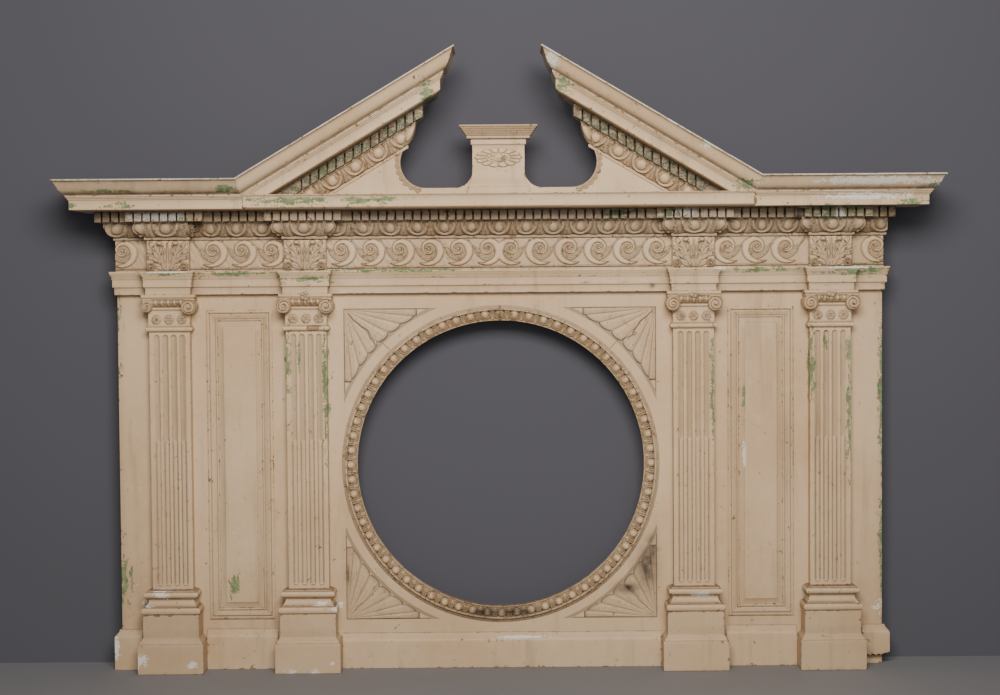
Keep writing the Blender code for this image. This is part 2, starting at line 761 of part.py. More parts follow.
def sima_profile():
    """Section of the sima: (projection, distance below its top), closed at the back"""
    points = [(SIMA_OUT, 0.0), (SIMA_OUT, 0.0045), (SIMA_OUT - 0.004, 0.0050)]
    low_out = CORONA_OUT + 0.0050
    high_out = SIMA_OUT - 0.004
    for t in curve_steps(6)[1:]:
        s = t - math.sin(2 * math.pi * t) / (2 * math.pi) * 0.75
        points.append((high_out + (low_out - high_out) * s, 0.0050 + (SIMA_H - 0.0050 - 0.003) * t))
    points.append((low_out, SIMA_H - GAP))
    points.append((CORONA_OUT - 0.020, SIMA_H - GAP))
    points.append((CORONA_OUT - 0.020, 0.0))
    return points


def sima_mitre(side, extra):
    """Ring of the joint between the level sima and the raking one"""
    ring_points = []
    for out, below in sima_profile():
        x = RAKE_FOOT + extra - below * math.tan(RAKE / 2)
        ring_points.append(at(side * x, FORWARD + out, Z_TOP - below))
    return ring_points


def sima(name, side):
    corner = [at(side * (BOARD_HALF + out), FORWARD + out, Z_TOP - below) for out, below in sima_profile()]
    wall = [at(side * (BOARD_HALF + out), BACK, Z_TOP - below) for out, below in sima_profile()]
    add_part(name, loft([sima_mitre(side, GAP), corner, wall]))


# Pediment: every raking course has the level course's section, sheared up the slope

def rake_top(x):
    return Z_TOP + TAN * (RAKE_FOOT - x)


def rake_low(out, below, level):
    """Where a line of a raking course comes down to a level"""
    x = RAKE_FOOT + (Z_TOP - below / COS - level) / TAN
    return x, FORWARD + out, level


def rake_at(x, out, below):
    return x, FORWARD + out, rake_top(x) - below / COS


def rake_corner(out, below):
    """Where a raking course turns back to the wall at the break"""
    return rake_at(RAKE_END - out, out, below)


def mirrored(side, place):
    x, depth, z = place
    return at(side * x, depth, z)


def raking_sima(name, side):
    back = FORWARD - TYMPANUM_T
    corner = [mirrored(side, rake_corner(out, below)) for out, below in sima_profile()]
    wall = []
    for out, below in sima_profile():
        x, depth, z = rake_corner(out, below)
        wall.append(at(side * x, back, z))
    add_part(name, loft([sima_mitre(side, 0.0), corner, wall]))


def raking_corona(name, side):
    """Board on the tympanum's edge, with the corona's face along it and across its end"""
    soffit = SIMA_H + CORONA_H
    back = FORWARD - TYMPANUM_T
    level = Z_SIMA
    front = [(CORONA_OUT - 0.012, soffit), (CORONA_OUT, soffit - 0.0040), (CORONA_OUT, SIMA_H + 0.008),
             (CORONA_OUT + 0.002, SIMA_H + 0.008), (CORONA_OUT + 0.002, SIMA_H + 0.004),
             (CORONA_OUT + 0.0045, SIMA_H + 0.004), (CORONA_OUT + 0.0045, SIMA_H + GAP)]
    bm = bmesh.new()
    low = [bm.verts.new(mirrored(side, rake_low(out, below, level))) for out, below in front]
    turn = [bm.verts.new(mirrored(side, rake_corner(out, below))) for out, below in front]
    end = []
    for out, below in front:
        x, depth, z = rake_corner(out, below)
        end.append(bm.verts.new(at(side * x, back, z)))
    x, depth, z = rake_low(0.0, soffit, level)
    low_back = bm.verts.new(at(side * x, back, z))
    x, depth, z = rake_low(0.0, SIMA_H + GAP, level)
    high_back = bm.verts.new(at(side * x, back, z))
    for a, b in ((low, turn), (turn, end)):
        for i in range(len(front) - 1):
            bm.faces.new((a[i], a[i + 1], b[i + 1], b[i]))
    bm.faces.new((low[-1], turn[-1], end[-1], high_back))
    bm.faces.new((low[0], low_back, end[0], turn[0]))
    bm.faces.new([high_back] + end[::-1] + [low_back])
    bm.faces.new(low + [high_back, low_back])
    add_part(name, bm)


def raking_bed(name, side):
    """Raking fillet and ovolo with its eggs, planted on the tympanum"""
    top = SIMA_H + CORONA_H + DENTIL_H
    profile = [(out, top + BED_H - height) for height, out in bed_rows()]
    profile[-1] = (profile[-1][0], top + GAP)
    profile += [(GAP, top + GAP), (GAP, top + BED_H)]
    back = FORWARD - TYMPANUM_T
    low = [mirrored(side, rake_low(out, below, Z_SIMA)) for out, below in profile]
    corner = [mirrored(side, rake_corner(out, below)) for out, below in profile]
    wall = []
    for out, below in profile:
        x, depth, z = rake_corner(out, below)
        wall.append(at(side * x, back, z))
    part = add_part(name, loft([low, corner, wall]))
    eggs = bmesh.new()
    for k in range(4):
        x = RAKE_END + 0.010 + k * EGG_PITCH * COS
        middle = rake_at(x, 0.0225, top + BED_H - 0.0290)
        place = Matrix.Translation(at(side * middle[0], middle[1], middle[2]))
        lean = Matrix.Rotation(side * RAKE, 4, "Y") @ Matrix.Rotation(0.75, 4, "X")
        shape = Matrix.Diagonal((EGG_HALF, 0.011, 0.0175, 1.0))
        bmesh.ops.create_uvsphere(eggs, u_segments=6, v_segments=3, radius=1.0, matrix=place @ lean @ shape)
    combine(part, add_cutter(name + "_eggs", eggs), "UNION")


def raking_dentils(name, side):
    """Raking dentils, whose slits are plumb"""
    high = SIMA_H + CORONA_H + GAP
    low_line = SIMA_H + CORONA_H + DENTIL_H
    back = FORWARD - TYMPANUM_T

    def section(out):
        return [(GAP, low_line), (out, low_line), (out, high), (GAP, high)]

    face = DENTIL_OUT
    floor = DENTIL_OUT - DENTIL_SLIT_DEPTH
    rings = [[mirrored(side, rake_low(out, below, Z_SIMA)) for out, below in section(face)]]
    first = RAKE_FOOT + (Z_TOP - high / COS - Z_SIMA) / TAN
    last = RAKE_END - face
    pitch = DENTIL_PITCH
    count = int((first - last - 0.075) / pitch)
    for k in range(count, 0, -1):
        x = last + k * pitch
        if rake_top(x) - low_line / COS < Z_SIMA + 0.012:
            continue
        for edge, out in ((1, face), (0, floor), (-1, face)):
            rings.append([mirrored(side, rake_at(x + edge * DENTIL_SLIT / 2, o, b)) for o, b in section(out)])
    rings.append([mirrored(side, rake_corner(out, below)) for out, below in section(face)])
    wall = []
    for out, below in section(face):
        x, depth, z = rake_corner(out, below)
        wall.append(at(side * x, back, z))
    rings.append(wall)
    add_part(name, loft(rings))


def tympanum():
    """Board under both raking cornices, cut with a round bay on each side of its middle tongue"""
    soffit = SIMA_H + CORONA_H + GAP
    floor = Z_SIMA
    strip = floor + BAY_STRIP
    centre_x = RAKE_END - BAY_INSET
    foot_x = FINIAL_HALF - 0.001 + BAY_FOOT_R
    rise = math.acos((RAKE_END - centre_x) / BAY_R)
    half = [(rake_low(0.0, soffit, floor)[0], floor), (RAKE_END, rake_top(RAKE_END) - soffit / COS)]
    for t in curve_steps(10):
        angle = rise - (rise + math.pi / 2) * t
        half.append((centre_x + BAY_R * math.cos(angle), strip + BAY_R * (1 + math.sin(angle))))
    for t in curve_steps(5):
        angle = -math.pi / 2 * (1 + t)
        half.append((foot_x + BAY_FOOT_R * math.cos(angle), strip + BAY_FOOT_R * (1 + math.sin(angle))))
    half.append((foot_x - BAY_FOOT_R, floor + FINIAL_H - CAP_H - GAP))
    outline = half + [(-x, z) for x, z in reversed(half)]
    add_part("tympanum", loft([[at(x, depth, z) for x, z in outline]
                               for depth in (FORWARD - TYMPANUM_T, FORWARD)]))


# Block planted on the tongue of the tympanum, with its cap and oval flower

def finial():
    low = Z_SIMA
    top = low + FINIAL_H
    cap = top - CAP_H
    face = FORWARD + FINIAL_OUT
    rows = [(low, 0.0125), (low + 0.0195, 0.0125), (low + 0.0385, 0.009), (low + 0.068, 0.0),
            (cap - 0.0155, 0.0), (cap - 0.0155, 0.004), (cap - GAP, 0.004)]
    add_part("finial_block", stack(rows, pier_plan(0.0, FINIAL_HALF, face, FORWARD + GAP)))
    rows = [(cap, 0.0095)]
    rows += ogee(cap, 0.0135, top - 0.006, 0.032, 5)
    rows += [(top - 0.006, 0.0355), (top, 0.0355)]
    add_part("finial_cap", stack(rows, pier_plan(0.0, FINIAL_HALF, face, FORWARD - TYMPANUM_T)))
    rings = []
    for share, depth in ((1.0, GAP), (1.0, 0.003), (0.55, 0.006), (0.50, 0.004), (0.30, 0.007)):
        row = []
        for k in range(PETALS * 2):
            angle = math.pi * k / PETALS
            reach = share * (0.86 if k % 2 and share > 0.9 else 1.0)
            row.append(at(FLOWER_HALF_W * reach * math.cos(angle), face + depth,
                          low + FLOWER_RISE + FLOWER_HALF_H * reach * math.sin(angle)))
        rings.append(row)
    add_part("oval_flower", loft(rings))


clear_scene()
PARTS = make_collection("overmantel")
CUTTERS = make_collection("cutters")

back_board()
ring()
for corner_name, corner_x, corner_z in (("top_left", -1, 1), ("top_right", 1, 1),
                                        ("bottom_left", -1, -1), ("bottom_right", 1, -1)):
    shell("spandrel_shell_" + corner_name, corner_x, corner_z)
panel("left", -BAY_CENTRE_X)
panel("right", BAY_CENTRE_X)
skirting()
for number, pilaster_x in enumerate(PILASTERS, 1):
    pedestal(number, pilaster_x)
    base(number, pilaster_x)
    shaft(number, pilaster_x)
    capital(number, pilaster_x)
    frieze_block(number, pilaster_x)
architrave()
frieze()
egg_course()
dentil_course()
corona()
for side_name, side_sign in (("left", -1), ("right", 1)):
    sima("sima_" + side_name, side_sign)
    raking_sima("raking_sima_" + side_name, side_sign)
    raking_corona("raking_corona_" + side_name, side_sign)
    raking_dentils("raking_dentils_" + side_name, side_sign)
    raking_bed("raking_ovolo_" + side_name, side_sign)
tympanum()
finial()
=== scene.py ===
"""Looks of the overmantel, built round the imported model.

Metres, in the model's frame: +X to the right, +Y into the wall, +Z up. A depth is measured
forwards from the front face of the back board, and "out" is how far a moulding stands out
from the plane of the frieze behind it.
"""
import math

import bpy
import numpy as np
from mathutils import Matrix, Vector


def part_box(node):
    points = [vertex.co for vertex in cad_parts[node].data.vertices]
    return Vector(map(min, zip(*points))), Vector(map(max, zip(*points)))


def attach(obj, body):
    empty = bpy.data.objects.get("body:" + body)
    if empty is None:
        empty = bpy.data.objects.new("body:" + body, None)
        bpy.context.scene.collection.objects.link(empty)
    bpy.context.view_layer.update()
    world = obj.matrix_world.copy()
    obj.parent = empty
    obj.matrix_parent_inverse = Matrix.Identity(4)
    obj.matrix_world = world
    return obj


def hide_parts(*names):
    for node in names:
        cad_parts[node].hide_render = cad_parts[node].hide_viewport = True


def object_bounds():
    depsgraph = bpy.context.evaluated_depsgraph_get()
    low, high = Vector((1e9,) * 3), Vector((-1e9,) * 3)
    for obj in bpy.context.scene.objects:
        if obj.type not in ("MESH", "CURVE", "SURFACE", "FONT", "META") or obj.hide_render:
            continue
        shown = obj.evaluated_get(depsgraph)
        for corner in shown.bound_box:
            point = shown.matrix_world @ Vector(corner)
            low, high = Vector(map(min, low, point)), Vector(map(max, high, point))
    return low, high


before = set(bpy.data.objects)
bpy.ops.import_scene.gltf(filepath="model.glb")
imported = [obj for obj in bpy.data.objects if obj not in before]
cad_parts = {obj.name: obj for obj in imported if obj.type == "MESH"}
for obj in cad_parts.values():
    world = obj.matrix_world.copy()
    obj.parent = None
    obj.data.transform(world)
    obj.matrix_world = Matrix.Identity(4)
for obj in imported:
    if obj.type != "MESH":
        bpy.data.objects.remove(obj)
cad_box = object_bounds()


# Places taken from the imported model

def low(node):
    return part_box(node)[0]


def high(node):
    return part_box(node)[1]


def middle_x(node):
    return (low(node).x + high(node).x) / 2


GAP = 0.0003
SIDES = (("left", -1), ("right", 1))
NUMBERS = (1, 2, 3, 4)
BOARD_HALF = high("back_board").x
FACE_Y = low("back_board").y
BOARD_T = high("back_board").y - FACE_Y
BACK = -BOARD_T
PILASTERS = [middle_x("shaft_%d" % n) for n in NUMBERS]
BAY_X = (PILASTERS[2] + PILASTERS[3]) / 2
RING_W = 0.043
OPEN_R = high("ring").x - RING_W
OPEN_Z = (high("ring").z + low("ring").z) / 2
SQUARE_HALF = OPEN_R + 0.0375
Z_CAPITAL = low("capital_1").z
Z_ARCHITRAVE = low("architrave").z
Z_FRIEZE = low("frieze").z
Z_BED = low("egg_course").z
Z_DENTIL = low("dentil_course").z
Z_CORONA = low("corona_left").z
Z_SIMA = low("sima_left").z
Z_TOP = high("sima_left").z
RECESS = 0.017
FORWARD = 0.047
BLOCK_HALF = (high("frieze_block_1").x - low("frieze_block_1").x) / 2
CORONA_FILLET = 0.0045
FILLETS = 3
FILLET_H = 0.0040
FILLETS_OUT = 0.0090
CORONA_OUT = FACE_Y - low("corona_left").y - FORWARD - CORONA_FILLET
SIMA_OUT = FACE_Y - low("sima_left").y - FORWARD
SIMA_H = Z_TOP - Z_SIMA
CORONA_H = Z_SIMA - Z_CORONA
DENTIL_H = Z_CORONA - Z_DENTIL
BED_H = Z_DENTIL - Z_BED
DENTIL_OUT = 0.0465
DENTIL_PITCH = 0.0237
DENTIL_SLIT = 0.0045
SLIT_DEPTH = 0.0165
DENTIL_STRIP = 0.0045
DENTIL_STUB = 0.0235
EGG_STUB = 0.0075
OVOLO_OUT = 0.0255
EGG_PITCH = 0.0757
RAKE_FOOT = BOARD_HALF - 0.358
RAKE_END = SIMA_OUT - high("raking_sima_left").x
TAN = (high("raking_sima_left").z - Z_TOP) / (RAKE_FOOT - RAKE_END + SIMA_OUT - 0.0015)
RAKE = math.atan(TAN)
COS = math.cos(RAKE)
SIN = math.sin(RAKE)
TYMPANUM_T = high("tympanum").y - low("tympanum").y


# Camera, first: its place was worked out from the photograph's straight lines

CAMERA_X = 0.010
CAMERA_DISTANCE = 4.861
CAMERA_Z = 1.071
CAMERA_YAW = math.radians(-0.115)
CAMERA_PITCH = math.radians(2.068)
CAMERA_ROLL = math.radians(-0.435)
FOCAL_PX = 1741.0
IMAGE_W = 1000.0
SENSOR_MM = 36.0


def add_camera():
    forward = Vector((math.sin(CAMERA_YAW), math.cos(CAMERA_YAW), 0.0))
    side = Vector((math.cos(CAMERA_YAW), -math.sin(CAMERA_YAW), 0.0))
    up = Vector((0.0, 0.0, 1.0))
    ahead = forward * math.cos(CAMERA_PITCH) - up * math.sin(CAMERA_PITCH)
    over = forward * math.sin(CAMERA_PITCH) + up * math.cos(CAMERA_PITCH)
    right = side * math.cos(CAMERA_ROLL) + over * math.sin(CAMERA_ROLL)
    top = over * math.cos(CAMERA_ROLL) - side * math.sin(CAMERA_ROLL)
    data = bpy.data.cameras.new("camera")
    data.sensor_fit = "HORIZONTAL"
    data.sensor_width = SENSOR_MM
    data.lens = FOCAL_PX / IMAGE_W * SENSOR_MM
    camera = bpy.data.objects.new("camera", data)
    place = Matrix((right, top, -ahead)).transposed().to_4x4()
    place.translation = (CAMERA_X, FACE_Y - CAMERA_DISTANCE, CAMERA_Z)
    camera.matrix_world = place
    bpy.context.scene.collection.objects.link(camera)
    bpy.context.scene.camera = camera


# Paint: colours in linear light, and where it is lost

CREAM = (0.615, 0.446, 0.272)
CREAM_WARM = (0.545, 0.372, 0.212)
CREAM_PALE = (0.670, 0.512, 0.335)
GREEN = (0.125, 0.170, 0.070)
GREEN_PALE = (0.220, 0.260, 0.125)
WHITE = (0.66, 0.61, 0.52)
WOOD = (0.260, 0.165, 0.095)
WOOD_DARK = (0.115, 0.068, 0.038)
# Grime, also the colour of painted shade in hollows, lower down and along the shells' arc
GRIME_AND_SHADE = (0.120, 0.078, 0.046)
# Soot, also the colour of painted shade where a piece is given dark
SOOT_AND_SHADE = (0.030, 0.022, 0.018)

# Where the cream is gone down to green: middle x, z and half sizes
GREEN_PATCHES = (
    (-0.565, 1.301, 0.110, 0.012), (-1.152, 1.294, 0.013, 0.007), (-1.018, 1.293, 0.034, 0.008),
    (-1.054, 1.330, 0.047, 0.005), (-0.737, 1.335, 0.027, 0.010), (-0.355, 1.301, 0.080, 0.010),
    (-0.908, 1.109, 0.050, 0.006), (-0.733, 1.107, 0.100, 0.006), (-0.261, 1.113, 0.170, 0.005),
    (0.734, 1.107, 0.110, 0.006), (0.990, 1.102, 0.085, 0.014), (-1.058, 0.994, 0.008, 0.060),
    (-1.060, 0.840, 0.008, 0.014), (-1.055, 0.243, 0.016, 0.060), (-0.590, 0.866, 0.007, 0.080),
    (-0.485, 0.775, 0.007, 0.160), (-0.557, 0.880, 0.005, 0.045), (0.865, 0.837, 0.008, 0.100),
    (0.905, 0.911, 0.006, 0.028), (0.968, 0.875, 0.007, 0.050), (0.968, 0.709, 0.006, 0.160),
    (1.064, 0.754, 0.006, 0.180), (1.062, 0.319, 0.007, 0.140), (-0.752, 0.235, 0.017, 0.042),
    (0.679, 0.743, 0.005, 0.056), (1.172, 1.340, 0.024, 0.020), (0.331, 1.265, 0.054, 0.008),
    (0.496, 1.265, 0.050, 0.011), (0.934, 1.263, 0.090, 0.013), (0.665, 1.337, 0.027, 0.014),
    (-0.531, 1.090, 0.060, 0.010), (0.590, 0.781, 0.005, 0.174),
    (0.175, 1.615, 0.018, 0.022), (-0.190, 1.590, 0.016, 0.030), (-0.880, 1.259, 0.045, 0.010),
    (1.120, 1.290, 0.035, 0.012),
)

# Where it is gone down to white priming, with a thin pale line on the left sima's top edge that is partly
# painted highlight: middle x, z and half sizes
WHITE_PATCHES = (
    (1.010, 1.345, 0.160, 0.011), (0.990, 1.303, 0.120, 0.009), (0.519, 1.268, 0.024, 0.010),
    (0.932, 1.262, 0.010, 0.011), (0.600, 1.440, 0.060, 0.010), (0.500, 1.505, 0.040, 0.008),
    (-0.944, 0.221, 0.020, 0.010), (-0.857, 0.026, 0.016, 0.010), (-0.583, 0.006, 0.020, 0.006),
    (-0.518, 0.006, 0.020, 0.006), (0.554, 0.209, 0.024, 0.008), (0.760, 0.250, 0.004, 0.012),
    (-0.750, 0.382, 0.004, 0.030), (0.681, 0.589, 0.005, 0.042), (0.057, 0.084, 0.080, 0.004),
    (0.612, 1.112, 0.020, 0.004), (1.048, 0.157, 0.016, 0.012), (-0.935, 1.362, 0.235, 0.003),
    (-0.910, 1.113, 0.050, 0.003), (0.147, 1.673, 0.014, 0.022), (0.960, 1.112, 0.060, 0.003),
    (-0.940, 1.265, 0.070, 0.009), (-1.000, 0.236, 0.030, 0.006), (-1.000, 0.188, 0.024, 0.006),
    (-0.500, 0.190, 0.020, 0.006), (-0.455, 0.176, 0.014, 0.010), (-1.080, 0.060, 0.010, 0.030),
    (-1.000, 0.040, 0.020, 0.020), (-0.470, 0.030, 0.006, 0.008), (1.000, 0.190, 0.020, 0.006),
)

# Soot, damp stains and dark holes: middle x, z and half sizes
STAINS = (
    (-0.4395, 1.076, 0.0030, 0.0040), (0.238, 1.075, 0.0085, 0.0020), (0.345, 1.077, 0.0060, 0.0016),
    (0.425, 1.066, 0.0060, 0.0060), (-0.4300, 0.268, 0.0022, 0.0110), (-0.4405, 0.845, 0.0022, 0.0060),
    (0.408, 0.282, 0.022, 0.045), (0.424, 0.330, 0.010, 0.035), (-0.047, 0.156, 0.040, 0.012),
    (0.352, 0.218, 0.026, 0.012), (-0.430, 0.262, 0.004, 0.020), (0.030, 0.155, 0.050, 0.010),
)


def unit(values):
    return np.clip(values, 0.0, 1.0)


def hill(away):
    """Soft bump: 1 in its middle, where away is 0, and nearly 0 at 2"""
    return np.exp(-away ** 2)


def blotch(x, z, patches):
    """How deep a point lies in the nearest of some oval patches, from 0 to 1"""
    total = np.zeros_like(x)
    for cx, cz, rx, rz in patches:
        far = ((x - cx) / (rx * 1.25)) ** 2 + ((z - cz) / (rz * 1.25)) ** 2
        total = np.maximum(total, np.exp(-far))
    return total


def ripple(points, length, seed):
    """Smooth, repeatable unevenness from -1 to 1, about as long as length"""
    total = np.zeros(len(points))
    for k in range(6):
        turn = seed * 1.7 + k * 2.399
        way = np.array((math.cos(turn), 0.6 * math.sin(turn * 1.3), math.sin(turn)))
        total += np.sin(points @ way * (2 * math.pi / length) * (0.7 + 0.23 * k) + seed * 3.1 + k)
    return total / 6


# Mesh tools

SHARP_ANGLE = math.radians(38)
BEND_GAIN = 5.0


def curvature(count, edges, points, normals):
    """Share of a full bend at each point: positive on arrises, negative in hollows"""
    a, b = edges[:, 0], edges[:, 1]
    step = points[b] - points[a]
    length = np.maximum(np.linalg.norm(step, axis=1), 1e-9)[:, None]
    step = step / length
    bend = np.zeros(count)
    share = np.zeros(count)
    np.add.at(bend, a, -(normals[a] * step).sum(1))
    np.add.at(bend, b, (normals[b] * step).sum(1))
    np.add.at(share, a, 1.0)
    np.add.at(share, b, 1.0)
    return bend / np.maximum(share, 1.0)


def spread(values, edges, rounds, keep):
    """Lets a value at each point bleed into its neighbours"""
    for _ in range(rounds):
        wide = values.copy()
        np.maximum.at(wide, edges[:, 0], values[edges[:, 1]] * keep)
        np.maximum.at(wide, edges[:, 1], values[edges[:, 0]] * keep)
        values = wide
    return values


def set_attribute(mesh, name, values):
    attribute = mesh.attributes.new(name, "FLOAT", "POINT")
    attribute.data.foreach_set("value", unit(values).astype(np.float32))


def finish_mesh(name, points, quads, caps, nodes, dirt=None, nicks=0.0009, material=None, green=0.0,
                dark=0.0, pale=0.0, bleed=2):
    """Makes one piece: worn arrises, and wear, dirt and painted shade as point values, and what it stands for
    """
    count = len(points)
    sizes = np.array([4] * len(quads) + [len(cap) for cap in caps], np.int32)
    loops = np.concatenate([quads.ravel()] + [np.asarray(cap) for cap in caps]).astype(np.int32)
    mesh = bpy.data.meshes.new(name)
    mesh.vertices.add(count)
    mesh.vertices.foreach_set("co", points.astype(np.float32).ravel())
    mesh.loops.add(len(loops))
    mesh.loops.foreach_set("vertex_index", loops)
    mesh.polygons.add(len(sizes))
    mesh.polygons.foreach_set("loop_start", np.concatenate(([0], np.cumsum(sizes)[:-1])).astype(np.int32))
    mesh.update(calc_edges=True)
    edges = np.zeros(len(mesh.edges) * 2, np.int64)
    mesh.edges.foreach_get("vertices", edges)
    edges = edges.reshape(-1, 2)
    normals = np.zeros(count * 3)
    mesh.vertex_normals.foreach_get("vector", normals)
    normals = normals.reshape(-1, 3)
    bend = curvature(count, edges, points, normals)
    # ridge marks arrises for wear; hollow darkens creases and the places given in dirt, as dirt and painted
    # shade
    ridge = unit(bend * BEND_GAIN)
    hollow = unit(-bend * BEND_GAIN)
    if dirt is not None:
        hollow = np.maximum(hollow, dirt)
    hollow = spread(hollow, edges, bleed, 0.6)
    worn = unit(ripple(points, 0.021, 3) * ripple(points, 0.0083, 5) * 4.0 - 0.35)
    slack = ripple(points, 0.31, 7) * 0.0004
    points = points - normals * (worn * ridge * nicks)[:, None]
    points[:, 1] += np.where(points[:, 1] < FACE_Y + 0.001, slack, 0.0)
    points = np.clip(points, list(cad_box[0]), list(cad_box[1]))
    mesh.vertices.foreach_set("co", points.astype(np.float32).ravel())
    x, z = points[:, 0], points[:, 2]
    set_attribute(mesh, "ridge", ridge)
    set_attribute(mesh, "hollow", hollow)
    set_attribute(mesh, "green", np.maximum(blotch(x, z, GREEN_PATCHES), green))
    set_attribute(mesh, "bare_and_highlight", np.maximum(blotch(x, z, WHITE_PATCHES), pale))
    # Real stains, and from dark the painted shade of soffits, dentils, slits and mouldings under overhangs
    set_attribute(mesh, "stain_and_shade", np.maximum(blotch(x, z, STAINS), dark))
    mesh.polygons.foreach_set("use_smooth", np.ones(len(sizes), bool))
    mesh.update()
    mesh.set_sharp_from_angle(angle=SHARP_ANGLE)
    piece = bpy.data.objects.new(name, mesh)
    bpy.context.scene.collection.objects.link(piece)
    mesh.materials.append(material or PAINT)
    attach(piece, "root")
    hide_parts(*nodes)
    return piece


def tube_arrays(rings, loop=False):
    """Points, quads and caps of a closed surface through rings of points"""
    rings = np.asarray(rings, float)
    rows, cols, _ = rings.shape
    index = np.arange(rows * cols).reshape(rows, cols)
    across = np.roll(index, -1, axis=1)
    if loop:
        quads = np.stack((index, across, np.roll(across, -1, axis=0), np.roll(index, -1, axis=0)), -1)
        caps = []
    else:
        quads = np.stack((index[:-1], across[:-1], across[1:], index[1:]), -1)
        caps = [index[0][::-1], index[-1]]
    quads = quads.reshape(-1, 4)
    points = rings.reshape(-1, 3)
    a, b, c, d = (points[quads[:, k]] for k in range(4))
    volume = (np.cross(b - a, c - a) * a).sum() + (np.cross(c - a, d - a) * a).sum()
    for cap in caps:
        hub = points[cap[0]]
        fan = np.cross(points[cap[1:-1]] - hub, points[cap[2:]] - hub)
        volume += (fan * hub).sum()
    if volume < 0:
        quads = quads[:, ::-1]
        caps = [cap[::-1] for cap in caps]
    return points, quads, caps


def join_arrays(parts):
    """Several closed surfaces as one set of points, quads and caps"""
    points, quads, caps = [], [], []
    offset = 0
    for more_points, more_quads, more_caps in parts:
        points.append(more_points)
        quads.append(more_quads + offset)
        caps += [np.asarray(cap) + offset for cap in more_caps]
        offset += len(more_points)
    return np.concatenate(points), np.concatenate(quads), caps


def tube(name, rings, nodes, loop=False, **more):
    return finish_mesh(name, *tube_arrays(rings, loop), nodes, **more)


def sheet(name, front, back, node, shade, back_shade=0.0, lines=None, **more):
    """Carved face as a grid of points, closed by two columns of points behind it"""
    def widen(values, behind):
        return np.concatenate((values, np.full((len(values), 2), behind)), axis=1).ravel()

    if lines is not None:
        more["dark"] = widen(lines, 0.0)
    return tube(name, np.concatenate((front, back), axis=1), [node], dirt=widen(shade, back_shade), **more)


def place(x, depth, z):
    """Points from arrays of x, depth and height"""
    x, depth, z = np.broadcast_arrays(x, depth, z)
    return np.stack((x, FACE_Y - depth, z), -1)


def steps(count):
    return np.linspace(0.0, 1.0, count + 1)


def refine(line, step, closed=False):
    """Adds points along the straight stretches of a line of numbers"""
    line = np.asarray(line, float)
    ends = np.roll(line, -1, axis=0) if closed else line[1:]
    rows = []
    for a, b in zip(line, ends):
        count = max(1, int(math.ceil(np.abs(b - a).max() / step)))
        rows.append(a + (b - a) * steps(count)[:-1, None])
    if not closed:
        rows.append(line[-1:])
    return np.concatenate(rows)


def soften(line, radius):
    """Rounds the corners of an open profile with three points each"""
    line = np.asarray(line, float)
    rows = [line[0]]
    for before, here, after in zip(line, line[1:], line[2:]):
        back, on = before - here, after - here
        far_back, far_on = np.linalg.norm(back), np.linalg.norm(on)
        turn = math.acos(max(-1.0, min(1.0, float(back @ on) / (far_back * far_on))))
        if turn > math.radians(155):
            rows.append(here)
            continue
        r = min(radius, far_back * 0.4, far_on * 0.4)
        rows += [here + back / far_back * r, here + (back / far_back + on / far_on) * r * 0.29,
                 here + on / far_on * r]
    rows.append(line[-1])
    return np.array(rows)


def ogee(z0, out0, z1, out1, count=12):
    """S curve between two points of a profile"""
    t = steps(count)
    return [(z0 + (z1 - z0) * k, out0 + (out1 - out0) * k * k * (3 - 2 * k)) for k in t]


def bulge(z0, z1, out0, out, count=10):
    """Half round between two heights"""
    angles = steps(count) * math.pi
    return [((z0 + z1) / 2 - math.cos(a) * (z1 - z0) / 2, out0 + (out - out0) * math.sin(a)) for a in angles]


# Plans of level mouldings: each point moves in a straight line as the moulding stands out

class Plan:
    """Closed plan outline whose points are x = x0 + x1 * out and depth = d0 + d1 * out"""

    def __init__(self, corners, step, rounding=0.0007):
        """corners: (x0, x1, d0, d1), with finer points wherever the outline is in front of the board"""
        corners = [np.array(corner, float) for corner in corners]
        rows = []
        count = len(corners)
        for i in range(count):
            here, after = corners[i], corners[(i + 1) % count]
            span = after - here
            length = np.hypot(span[0] + span[1] * 0.02, span[2] + span[3] * 0.02)
            hidden = here[3] == 0.0 and after[3] == 0.0
            pieces = 1 if hidden else max(1, int(math.ceil(length / step)))
            shares = list(steps(pieces)[:-1])
            if not hidden and length > rounding * 4:
                shares = [rounding / length] + shares[1:] + [1 - rounding / length]
            rows += [here + span * share for share in shares]
        self.rows = np.array(rows)

    def at(self, out):
        x = self.rows[:, 0] + self.rows[:, 1] * out
        depth = self.rows[:, 2] + self.rows[:, 3] * out
        return x, depth


def stack_rings(plan, profile, relief=None):
    """Rings of a level moulding and the dirt and painted shade on them: profile rows of (height, out) over a
    plan
    """
    rings, dirt = [], []
    for row, (z, out) in enumerate(profile):
        lift, drop, shade = relief(plan, row, z, out) if relief else (0.0, 0.0, np.zeros(len(plan.rows)))
        x, depth = plan.at(out + lift)
        rings.append(place(x, depth, z - drop))
        dirt.append(shade)
    return rings, np.concatenate(dirt)


def stack(name, plan, profile, nodes, relief=None, **more):
    """Level moulding with an optional relief on it"""
    rings, dirt = stack_rings(plan, profile, relief)
    return tube(name, rings, nodes, dirt=dirt, **more)


def pier_plan(centre, half, depth, step=0.004, back=GAP):
    return Plan([(centre - half, -1, back, 0), (centre - half, -1, depth, 1),
                 (centre + half, 1, depth, 1), (centre + half, 1, back, 0)], step)


